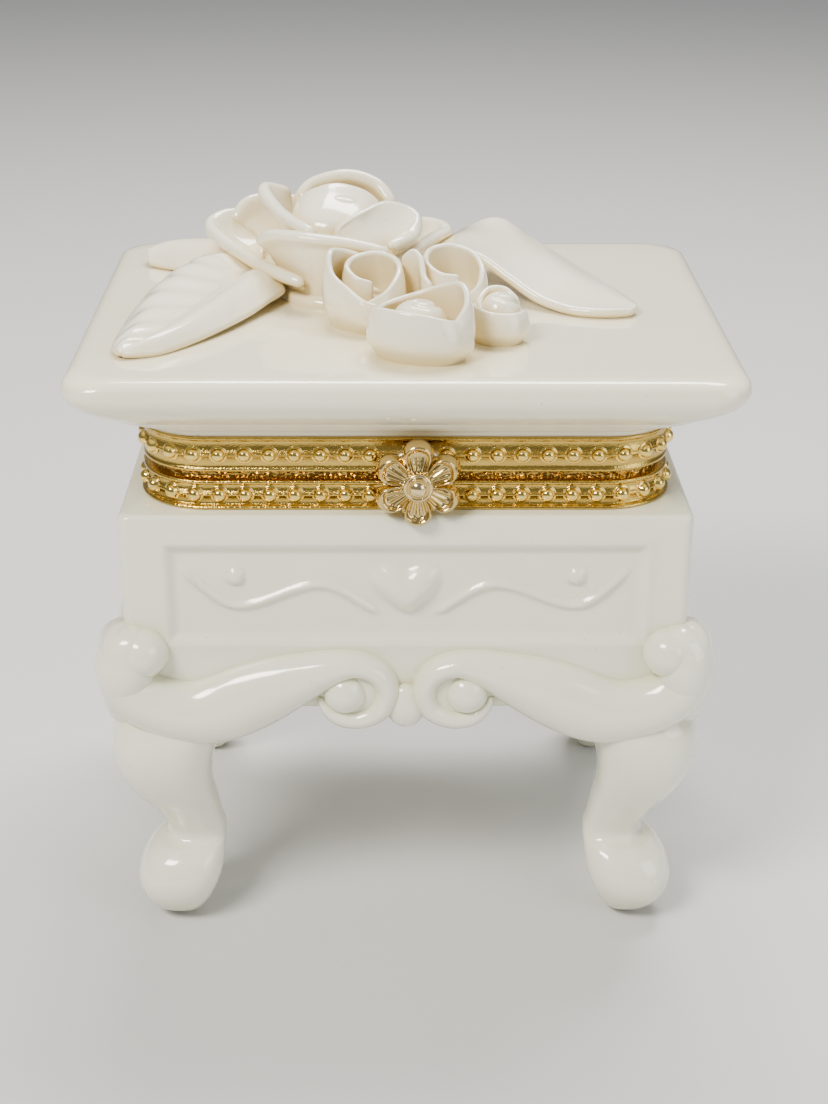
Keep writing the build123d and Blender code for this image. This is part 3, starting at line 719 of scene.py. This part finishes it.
def bead_seats():
    """Evenly spaced places round the rim, with the way each one faces."""
    ring = oblong(rim_half_width, rim_half_depth, rim_corner, 400, 300, 90)
    lengths = [0.0]
    for (xa, ya, _, _), (xb, yb, _, _) in zip(ring, ring[1:] + ring[:1]):
        lengths.append(lengths[-1] + math.hypot(xb - xa, yb - ya))
    beads = round(lengths[-1] / 4.1)
    seats = []
    for k in range(beads):
        target = (k + 0.5) * lengths[-1] / beads
        i = next(i for i, length in enumerate(lengths) if length >= target) - 1
        x, y, nx, ny = ring[i]
        if y < 0 and abs(x - clasp_x) < 4.4 and ny < -0.9:
            continue
        if y > 0 and abs(x) < hinge_half + 1.8 and ny > 0.9:
            continue
        seats.append((x, y, nx, ny))
    return seats


bead_profile = (
    (1.2, 0.0), (1.15, 0.45), (0.9, 0.85), (0.4, 1.14), (0.12, 1.2), (0.1, 1.48), (-0.1, 1.46), (-0.3, 0.0),
)


def round_bead(column, row):
    """The bead that all the others copy, with its little flange, facing along x at the origin."""
    turn = 2 * math.pi * column
    out, ring = through(bead_profile, row)
    return out, max(ring, 0.0) * math.cos(turn), max(ring, 0.0) * math.sin(turn)


def beading(name, z, body, node):
    """One bead shaped once, then copied to every seat round a rim."""
    first = bent_grid(name, 16, 12, round_bead)
    close_ends(first)
    beads = []
    for x, y, nx, ny in bead_seats():
        bead = bpy.data.objects.new(name + "_bead", first.data.copy())
        bpy.context.scene.collection.objects.link(bead)
        facing = Matrix.Rotation(math.atan2(ny, nx), 4, "Z")
        bead.data.transform(Matrix.Translation(Vector((x, y, z)) * mm) @ facing)
        beads.append(bead)
    bpy.data.objects.remove(first)
    bpy.ops.object.select_all(action="DESELECT")
    for bead in beads:
        bead.select_set(True)
    bpy.context.view_layer.objects.active = beads[0]
    bpy.ops.object.join()
    beads[0].name = name
    settle(beads[0], bead_gilt, body, "gilt_bead", node)


beading("lower_beads", lower_bead_z, "base", "lower_beading")
beading("upper_beads", upper_bead_z, "lid", "upper_beading")


# --- Hinge, catch, collar and bedding ----------------------------------------------------
# The hinge is two gilt leaves soldered to the rims' backs, turning on a headed pin; the
# collar in the gap is rough gilt strip; white plaster beds each rim on its neck.
hinge_gilt = gilt("hinge_gilt", (0.68, 0.48, 0.15), (0.28, 0.17, 0.04), 0.2, 1400.0, 0.1)
rough_gilt = gilt("rough_gilt", (0.46, 0.27, 0.06), (0.10, 0.05, 0.01), 0.12, 1300.0, 1.0)
plaster = bpy.data.materials.new("bedding_plaster")
plaster.use_nodes = True
plaster_nodes = plaster.node_tree.nodes
grit = plaster_nodes.new("ShaderNodeTexNoise")
grit.inputs["Scale"].default_value = 1800.0
plaster_tone = plaster_nodes.new("ShaderNodeMapRange")
plaster_tone.inputs["To Min"].default_value = 0.55
plaster_tone.inputs["To Max"].default_value = 0.85
plaster.node_tree.links.new(grit.outputs["Fac"], plaster_tone.inputs["Value"])
plaster_shader = plaster_nodes["Principled BSDF"]
plaster.node_tree.links.new(plaster_tone.outputs["Result"], plaster_shader.inputs["Base Color"])
plaster_shader.inputs["Roughness"].default_value = 0.9
for node, material in (
    ("hinge_leaf_lower", hinge_gilt),
    ("hinge_leaf_upper", hinge_gilt),
    ("hinge_pin", hinge_gilt),
    ("catch_stud", hinge_gilt),
    ("clasp_tongue", hinge_gilt),
    ("bezel_collar", rough_gilt),
    ("lower_cement", plaster),
    ("upper_cement", plaster),
):
    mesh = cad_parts[node].data
    mesh.materials.clear()
    mesh.materials.append(material)


# --- Clasp -----------------------------------------------------------------------------
# The thumb piece is a small cast gilt flower: six cupped petals with raised rims and fine
# veins, and a domed boss in a ring, riveted to the spring tongue that is soldered to the lid.
clasp_z = 85.65
flower_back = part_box("clasp_flower")[1].y / mm
clasp_gilt = gilt("clasp_gilt", (0.63, 0.465, 0.18), (0.22, 0.14, 0.03), 0.15, 1900.0, 0.10)


def clasp_petals(column, row):
    """The six petals as one casting: out over the face to the rim, then back underneath."""
    turn = 2 * math.pi * column
    across = ((math.degrees(turn) - 90 + 30) % 60 - 30) / 30
    swing = math.radians(30 * across)
    reach = 4.95 * math.cos(swing) + math.sqrt(max(2.56**2 - (4.95 * math.sin(swing)) ** 2, 0.0))
    over = row < 0.8
    spread = row / 0.8 if over else (1 - row) / 0.2
    border = (spread**8 + (abs(across) * smooth_step(0.12, 0.6, spread)) ** 8) ** (1 / 8)
    rim = math.exp(-(((border - 0.86) / 0.075) ** 2))
    groove = smooth_step(0.92, 1.04, border)
    inner = 1 - smooth_step(0.68, 0.82, border)
    veins = 0.15 * math.cos(across * math.pi * 4.5) * inner * smooth_step(0.3, 0.45, spread)
    height = 1.25 + 0.8 * rim + veins - 1.0 * groove + 0.5 * (1 - smooth_step(0.2, 0.75, spread))
    if not over:
        height = 0.05 + 0.2 * smooth_step(0.85, 1.0, spread)
    out = reach * spread
    return clasp_x + out * math.cos(turn), flower_back - height, clasp_z + out * math.sin(turn)


clasp_flower = bent_grid("clasp_flower", 180, 60, clasp_petals)
close_ends(clasp_flower)
settle(clasp_flower, clasp_gilt, "clasp", "gilt_clasp", "clasp_flower")

boss_profile = (
    (0.0, 3.95), (0.5, 3.88), (1.0, 3.62), (1.35, 3.2), (1.5, 2.75), (1.62, 2.6), (1.8, 2.72),
    (2.05, 2.85), (2.3, 2.7), (2.42, 2.35), (2.42, 1.7), (2.3, 1.2),
)


def clasp_dome(column, row):
    """The domed boss, with a raised ring round its foot."""
    turn = 2 * math.pi * column
    radius, height = through(boss_profile, row)
    radius = max(radius, 0.0)
    return clasp_x + radius * math.cos(turn), flower_back - height, clasp_z + radius * math.sin(turn)


clasp_boss = bent_grid("clasp_boss", 56, 44, clasp_dome)
close_ends(clasp_boss)
boss_gilt = gilt("boss_gilt", (0.78, 0.62, 0.32), (0.35, 0.24, 0.09), 0.12, 1200.0, 0.04)
settle(clasp_boss, boss_gilt, "clasp", "gilt_clasp", "clasp_boss")


# --- The big rose ------------------------------------------------------------------------
# Hand-built from pinched clay: a rolled heart on a low mound, with thin petals pressed round
# it one by one. Each lip is rolled outwards by the thumb; glaze has pooled between them, and painted shade
# deepens the tan there.
flower_glaze = glaze("flower_glaze", (0.945, 0.90, 0.745), (0.80, 0.66, 0.36), 90.0)
lip_turns = 10
climb = 26


def clay_sheet(name, rows, thick=1.3, lip=2.4, ripple=None, columns=44, soft=14):
    """A thin sheet of clay: rows of points from its foot to its lip, rounded all round."""
    turns = [math.pi * i / lip_turns for i in range(lip_turns + 1)]
    section = [(i / climb, 1.0, 0.0) for i in range(climb)]
    section += [(1.0, math.cos(a), math.sin(a)) for a in turns]
    section += [(1 - i / climb, -1.0, 0.0) for i in range(1, climb + 1)]
    section += [(0.0, -math.cos(a), -math.sin(a)) for a in turns[1:]]

    def skin(u, v):
        return Vector(through([through(row, u) for row in rows], v))

    step = 0.01

    def place(column, row):
        v, across, beyond = section[round(row * (len(section) - 1))]
        u = column
        along = skin(min(u + step, 1), v) - skin(max(u - step, 0), v)
        up = skin(u, min(v + step, 1)) - skin(u, max(v - step, 0))
        normal = along.cross(up).normalized()
        taper = math.sqrt(max(0.0, 1 - abs(2 * u - 1) ** soft))
        half = 0.5 * (thick + (lip - thick) * smooth_step(0.72, 1.0, v)) * taper
        wave = ripple(u, v) if ripple else 0.0
        return skin(u, v) + normal * (across * half + wave) + up.normalized() * beyond * half

    sheet = bent_grid(name, columns, len(section) - 1, place)
    close_ends(sheet)
    return sheet


def clay_ball(name, centre, radius, bottom, top, folds):
    """A rolled heart: a rounded drop with a spiral fold winding up to its tip."""
    def place(column, row):
        turn, rise = 2 * math.pi * column, math.pi * row
        fold = math.exp(-((((turn / (2 * math.pi) + row * folds) % 1.0 - 0.5) / 0.09) ** 2))
        reach = radius * math.sin(rise) ** 0.75 * (1 - 0.10 * fold * smooth_step(0.35, 0.6, row))
        height = bottom + (top - bottom) * (1 - math.cos(rise)) / 2
        height -= 0.25 * fold * smooth_step(0.5, 0.8, row)
        return centre[0] + reach * math.cos(turn), centre[1] + reach * math.sin(turn), height

    ball = bent_grid(name, 72, 48, place)
    close_ends(ball)
    return ball


def join_pieces(name, pieces):
    """Makes several meshes one piece."""
    bpy.ops.object.select_all(action="DESELECT")
    for piece in pieces:
        piece.select_set(True)
    bpy.context.view_layer.objects.active = pieces[0]
    bpy.ops.object.join()
    pieces[0].name = name
    return pieces[0]


mound = clay_ball("rose_mound", (-11.0, 9.0), 12.5, lid_top - 3.0, lid_top + 3.6, 0)
settle(mound, flower_glaze, "lid", "flower_glaze", "rose_base")
heart = clay_ball("rose_heart", (-11.8, 10.2), 7.4, lid_top - 1.5, 121.2, 2)
heart_wrap = clay_sheet("rose_wrap", (
    ((-19.6, 8.0, 110.0), (-16.5, 4.0, 110.0), (-12.0, 2.9, 110.0), (-7.2, 4.4, 110.0), (-4.6, 8.0, 110.0)),
    ((-19.8, 9.0, 116.0), (-17.0, 4.8, 117.2), (-12.0, 3.4, 117.4), (-7.2, 5.2, 116.8), (-4.4, 9.0, 115.5)),
    (
        (-18.8, 12.0, 119.2), (-16.0, 12.0, 121.0), (-12.0, 12.4, 121.9),
        (-7.6, 12.4, 120.9), (-4.6, 12.2, 118.8),
    ),
), lip=1.1)
settle(join_pieces("rose_heart", [heart, heart_wrap]), flower_glaze, "lid", "flower_glaze", "rose_heart")

rose_petals = {
    "rose_petal_inner_back": (
        ((-18.0, 12.0, 107.0), (-14.5, 16.5, 107.0), (-9.0, 17.0, 107.0), (-4.0, 12.5, 107.0)),
        ((-19.4, 13.0, 114.5), (-15.0, 18.0, 116.0), (-8.0, 18.3, 116.0), (-2.2, 12.6, 114.0)),
        (
            (-19.0, 13.4, 119.2), (-16.2, 15.6, 121.6), (-10.3, 16.2, 122.9),
            (-5.0, 15.4, 121.5), (-1.9, 12.8, 118.4),
        ),
    ),
    "rose_petal_inner_left": (
        ((-16.5, 16.5, 107.0), (-20.0, 10.0, 107.0), (-18.0, 3.5, 107.0), (-14.0, 0.5, 107.0)),
        ((-19.5, 17.5, 114.0), (-21.0, 10.5, 113.5), (-18.8, 3.8, 113.0), (-14.8, 0.2, 113.0)),
        (
            (-20.5, 19.0, 119.2), (-24.8, 15.6, 120.6), (-22.6, 8.8, 119.0),
            (-19.4, 3.0, 117.8), (-15.6, -1.2, 116.8),
        ),
    ),
    "rose_petal_inner_front": (
        ((-12.0, 1.0, 108.0), (-7.5, 0.6, 108.0), (-3.5, 2.0, 108.0), (-2.0, 5.0, 108.0)),
        ((-12.4, -0.2, 113.6), (-8.0, 0.4, 113.8), (-3.6, 2.4, 113.2), (-1.6, 2.0, 112.0)),
        (
            (-12.1, 1.0, 116.6), (-8.4, 4.0, 118.6), (-4.2, 8.0, 119.4), (0.0, 9.6, 118.2),
            (2.2, 8.0, 116.6), (1.2, 4.0, 115.2), (-2.9, -0.6, 114.2),
        ),
    ),
    "rose_petal_left": (
        ((-18.0, 18.0, 107.0), (-21.0, 10.5, 106.2), (-19.5, 4.0, 106.2), (-14.5, -0.5, 106.2)),
        ((-24.0, 20.5, 110.5), (-28.5, 15.0, 109.2), (-24.0, 6.4, 108.0), (-17.2, -0.6, 107.2)),
        (
            (-25.5, 22.0, 114.6), (-31.5, 20.8, 114.8), (-34.7, 17.0, 113.8), (-32.6, 11.5, 112.7),
            (-27.6, 5.8, 110.9), (-22.8, 1.0, 109.7), (-17.2, -2.8, 108.5),
        ),
    ),
    "rose_petal_back_left": (
        ((-21.0, 16.0, 107.0), (-16.0, 19.0, 107.0), (-11.0, 19.0, 107.0)),
        ((-27.0, 19.0, 111.5), (-19.0, 23.0, 112.0), (-12.0, 22.5, 111.0)),
        (
            (-30.6, 19.6, 113.6), (-28.6, 21.6, 116.4), (-25.0, 23.6, 117.2),
            (-18.0, 25.4, 116.0), (-11.0, 24.6, 114.4),
        ),
    ),
    "rose_petal_front": (
        ((-20.0, 3.4, 106.0), (-14.5, -1.2, 105.4), (-7.5, -1.6, 105.4), (-3.0, 1.4, 106.0)),
        ((-22.8, 4.0, 111.0), (-15.8, -1.4, 111.8), (-8.2, -2.2, 111.4), (-2.6, -1.2, 110.4)),
        (
            (-25.2, 4.6, 114.0), (-22.4, 1.2, 116.0), (-16.5, -2.0, 116.4),
            (-9.1, -3.0, 115.6), (-2.6, -2.8, 113.8),
        ),
    ),
    "rose_petal_right": (
        ((-5.0, 1.0, 106.0), (-1.0, 6.0, 106.0), (-0.5, 13.0, 106.0), (-4.0, 18.0, 106.0)),
        ((-3.6, -0.2, 108.6), (2.0, 6.8, 109.0), (3.6, 14.5, 109.4), (-0.6, 21.0, 109.4)),
        (
            (-3.6, -1.4, 110.4), (1.0, 5.6, 111.8), (5.0, 12.0, 112.9),
            (7.6, 16.4, 113.0), (5.2, 21.0, 113.0), (-0.5, 24.0, 112.6),
        ),
    ),
    "rose_petal_back_right": (
        ((-3.5, 15.0, 107.0), (-7.0, 18.0, 107.0), (-12.0, 18.5, 107.0)),
        ((-1.2, 18.5, 111.0), (-5.5, 22.5, 111.5), (-12.5, 22.5, 111.0)),
        ((2.0, 20.0, 113.6), (-1.0, 24.0, 114.6), (-6.0, 26.2, 114.8), (-13.0, 25.6, 114.2)),
    ),
}
for name, rows in rose_petals.items():
    settle(clay_sheet(name, rows), flower_glaze, "lid", "flower_glaze", name)


# --- Rosebuds ----------------------------------------------------------------------------
# Four buds sit in front of the rose: rolled strips of the same clay, wrapped so that one
# edge dips in a point at the front and the other curls inside. They are luted to the lid.
def bud_wrap(name, centre, rim, belly=1.12, foot=0.78):
    """A strip wrapped round a bud: its lip as given, bellied out below and drawn in at its foot."""
    cx, cy = centre
    base = [(cx + (x - cx) * foot, cy + (y - cy) * foot, lid_top - 0.6) for x, y, _ in rim]
    low = [
        (cx + (x - cx) * belly, cy + (y - cy) * belly, lid_top + 0.36 * (z - lid_top)) for x, y, z in rim
    ]
    high = [
        (cx + (x - cx) * (belly - 0.02), cy + (y - cy) * (belly - 0.02), lid_top + 0.74 * (z - lid_top))
        for x, y, z in rim
    ]
    return clay_sheet(name, (base, low, high, rim), thick=1.1, lip=1.0, columns=72, soft=24)


bud_hearts = {
    "bud_left_heart": ((-6.6, -10.8), 3.6, 110.4, 2),
    "bud_back_heart": ((7.8, -7.0), 3.4, 108.2, 2),
    "bud_front_heart": ((1.9, -28.8), 4.9, 113.3, 3),
    "bud_small_heart": ((15.3, -19.8), 3.7, 112.0, 2),
}
for name, (centre, radius, top, folds) in bud_hearts.items():
    ball = clay_ball(name, centre, radius, lid_top - 2.0, top, folds)
    settle(ball, flower_glaze, "lid", "flower_glaze", name)

bud_petals = {
    "bud_left_petal": (
        ((-8.0, -12.2), (
            (-7.4, -5.6, 114.2), (-10.4, -6.6, 115.3), (-12.6, -9.6, 115.8), (-12.2, -13.4, 113.2),
            (-9.2, -16.6, 111.2), (-6.4, -18.3, 109.6), (-3.6, -17.8, 108.8),
        )),
        ((-6.2, -11.4), (
            (-6.6, -18.0, 109.4), (-3.4, -16.6, 110.8), (-1.2, -12.4, 113.0), (-1.6, -8.4, 114.2),
            (-4.6, -5.8, 114.7), (-8.4, -7.2, 114.4), (-9.8, -10.4, 113.6), (-8.2, -13.2, 112.4),
            (-5.4, -13.4, 111.6),
        )),
    ),
    "bud_back_petal": (
        ((7.9, -7.4), (
            (8.9, -11.6, 112.3), (5.8, -11.4, 112.6), (3.5, -8.2, 113.8), (4.3, -3.9, 114.8),
            (7.8, -1.9, 115.0), (11.4, -3.6, 114.2), (12.8, -7.8, 112.8), (12.1, -11.4, 110.6),
            (9.6, -13.4, 108.8),
        )),
        ((1.6, -10.6), (
            (-0.6, -8.0, 114.4), (1.2, -8.6, 115.8), (2.5, -10.4, 115.0), (3.0, -13.0, 112.8),
            (4.2, -14.6, 111.6),
        )),
    ),
    "bud_front_petal": (
        ((3.2, -28.6), (
            (-4.6, -26.4, 111.6), (-4.6, -30.2, 112.3), (-1.8, -33.2, 112.6), (2.4, -34.6, 112.3),
            (6.6, -34.2, 111.3), (9.6, -31.4, 110.2),
        )),
        ((3.6, -28.4), (
            (7.4, -33.6, 110.8), (9.4, -30.6, 113.2), (8.8, -26.6, 115.2), (5.4, -23.6, 114.0),
            (1.0, -22.8, 112.4), (-2.8, -24.4, 111.6), (-4.8, -27.6, 111.4),
        )),
    ),
    "bud_small_petal": (
        ((15.2, -20.2), (
            (11.0, -18.6, 109.6), (11.4, -22.0, 109.8), (14.0, -24.2, 109.5), (17.4, -23.8, 109.3),
            (19.3, -21.0, 109.2),
        )),
        ((15.0, -20.0), (
            (18.2, -18.8, 110.4), (16.2, -17.2, 111.8), (13.6, -17.4, 111.9), (12.0, -19.8, 110.8),
            (12.2, -22.4, 109.2),
        )),
    ),
}
for name, wraps in bud_petals.items():
    strips = [bud_wrap(f"{name}_{i}", centre, rim) for i, (centre, rim) in enumerate(wraps)]
    settle(join_pieces(name, strips), flower_glaze, "lid", "flower_glaze", name)


# --- Leaves ------------------------------------------------------------------------------
# Three leaves lie under the flowers: sheets of clay pressed on a veined mould, with one edge
# folded under in a soft roll, and their tips resting on the lid.
def leaf_veins(u, v):
    """Soft ribs that slant from the midrib to the leaf's edge."""
    fade = smooth_step(0.02, 0.12, v) * (1 - smooth_step(0.42, 0.56, v))
    fade *= smooth_step(0.12, 0.22, u) * (1 - smooth_step(0.86, 0.95, u))
    return 0.14 * fade * math.sin(2 * math.pi * (8.5 * u + 3.0 * v))


leaves = {
    "leaf_left_front": (
        (
            (-30.0, 14.0, 107.2), (-37.0, 9.6, 107.6), (-41.6, 2.6, 106.8), (-45.0, -7.0, 105.6),
            (-46.3, -18.0, 105.0), (-46.6, -26.6, 104.9), (-45.3, -31.0, 105.2),
        ),
        (
            (-28.0, 11.4, 110.0), (-34.4, 6.6, 110.4), (-38.4, -1.0, 109.8), (-41.4, -10.0, 108.6),
            (-42.8, -19.6, 107.4), (-44.4, -27.2, 106.4), (-45.3, -31.0, 105.2),
        ),
        (
            (-25.0, 8.0, 108.6), (-29.4, 2.6, 108.6), (-32.0, -4.2, 108.0), (-35.0, -12.0, 107.2),
            (-38.4, -20.4, 106.4), (-42.0, -27.6, 105.8), (-45.3, -31.0, 105.2),
        ),
        (
            (-22.6, 4.0, 108.8), (-26.0, -1.2, 109.2), (-28.6, -7.6, 108.8), (-31.8, -14.4, 108.2),
            (-36.0, -22.0, 107.4), (-40.6, -28.2, 106.6), (-45.3, -31.0, 105.2),
        ),
        (
            (-21.0, 1.0, 106.4), (-23.6, -4.2, 106.2), (-26.4, -10.0, 105.8), (-30.0, -16.6, 105.6),
            (-34.8, -23.4, 105.2), (-39.8, -28.8, 105.0), (-45.3, -31.0, 105.2),
        ),
    ),
    "leaf_left_back": (
        ((-25.0, 11.0, 107.0), (-34.0, 15.4, 106.2), (-42.0, 20.4, 105.0), (-46.8, 23.2, 105.0)),
        ((-25.0, 14.0, 109.4), (-34.0, 19.4, 108.8), (-42.4, 23.6, 107.8), (-47.2, 25.2, 106.4)),
        ((-25.0, 18.0, 109.4), (-34.0, 24.0, 108.9), (-42.4, 26.8, 107.8), (-47.0, 26.8, 106.2)),
        ((-26.0, 22.0, 105.6), (-34.0, 27.4, 105.4), (-41.6, 29.4, 105.0), (-46.0, 28.2, 105.0)),
    ),
    "leaf_right": (
        (
            (5.0, 19.0, 108.6), (12.0, 23.0, 111.6), (17.4, 24.0, 112.8), (22.8, 19.8, 110.4),
            (30.6, 11.0, 107.4), (36.6, 0.6, 106.0), (39.4, -5.8, 105.4),
        ),
        (
            (5.0, 15.4, 110.4), (11.6, 15.6, 112.2), (18.4, 13.4, 111.2), (24.6, 8.0, 109.0),
            (31.0, 1.4, 107.0), (36.2, -4.0, 106.0), (39.4, -7.0, 105.5),
        ),
        (
            (4.8, 12.0, 110.4), (9.0, 7.6, 111.6), (13.2, 4.2, 111.2), (18.0, 0.8, 108.6),
            (23.0, -2.8, 106.0), (28.4, -7.0, 105.2), (33.8, -8.6, 105.2), (38.8, -8.0, 105.2),
        ),
    ),
}
for name, rows in leaves.items():
    veins = leaf_veins if name == "leaf_left_front" else None
    leaf = clay_sheet(name, rows, thick=1.3, lip=1.7, ripple=veins, columns=110, soft=30)
    if name == "leaf_right":
        wad = clay_ball("leaf_wad", (9.0, 14.5), 4.6, lid_top - 3.0, 111.6, 0)
        leaf = join_pieces(name, [leaf, wad])
    settle(leaf, flower_glaze, "lid", "flower_glaze", name)


# --- Floor, light and camera -------------------------------------------------------------
# The box stands on plain matt paper under three soft lamps, seen from a little above.
def floor_spot(column, row):
    """The paper lies flat, and is large enough to reach past every view."""
    return 20000 * (column - 0.5), 20000 * (row - 0.5), 0.0


floor = bent_grid("floor", 40, 40, floor_spot, closed=False)
paper = bpy.data.materials.new("paper")
paper.use_nodes = True
fibre = paper.node_tree.nodes.new("ShaderNodeTexNoise")
fibre.inputs["Scale"].default_value = 9.0
shade = paper.node_tree.nodes.new("ShaderNodeMapRange")
shade.inputs["To Min"].default_value = 0.60
shade.inputs["To Max"].default_value = 0.64
paper.node_tree.links.new(fibre.outputs["Fac"], shade.inputs["Value"])
paper_shader = paper.node_tree.nodes["Principled BSDF"]
paper.node_tree.links.new(shade.outputs["Result"], paper_shader.inputs["Base Color"])
paper_shader.inputs["Roughness"].default_value = 0.8
floor.data.materials.append(paper)


def lamp(name, spot, aim, width, height, watts, tint):
    """A soft oblong lamp at spot that shines at aim, all in metres."""
    bpy.ops.object.light_add(type="AREA", location=spot)
    light = bpy.context.object
    light.name = name
    light.data.shape = "RECTANGLE"
    light.data.size = width
    light.data.size_y = height
    light.data.energy = watts
    light.data.color = tint
    light.rotation_euler = (Vector(aim) - Vector(spot)).to_track_quat("-Z", "Y").to_euler()


lamp("key_lamp", (-0.40, -0.50, 0.70), (0, 0, 0.08), 0.34, 0.20, 11.0, (1.0, 0.95, 0.86))
lamp("fill_lamp", (0.75, -0.55, 0.40), (0, 0, 0.08), 0.6, 0.6, 4.0, (0.94, 0.97, 1.0))
lamp("top_lamp", (0.10, 0.30, 0.75), (0, 0, 0.1), 0.5, 0.22, 9.0, (1.0, 0.97, 0.92))
world = bpy.data.worlds.new("studio")
world.use_nodes = True
world.node_tree.nodes["Background"].inputs["Color"].default_value = (0.80, 0.82, 0.85, 1)
world.node_tree.nodes["Background"].inputs["Strength"].default_value = 0.35
bpy.context.scene.world = world

yaw, pitch, roll = math.radians(0.91), math.radians(24.0), math.radians(0.33)
ahead = Vector((math.sin(yaw) * math.cos(pitch), math.cos(yaw) * math.cos(pitch), -math.sin(pitch)))
sideways = Vector((math.cos(yaw), -math.sin(yaw), 0))
upwards = sideways.cross(ahead)
tilted_side = sideways * math.cos(roll) + upwards * math.sin(roll)
tilted_up = upwards * math.cos(roll) - sideways * math.sin(roll)
bpy.ops.object.camera_add(location=(-0.00326, -0.31965, 0.19945))
camera = bpy.context.object
camera.rotation_euler = Matrix((tilted_side, tilted_up, -ahead)).transposed().to_euler()
camera.data.lens = 62.2
camera.data.clip_start = 0.01
bpy.context.scene.camera = camera
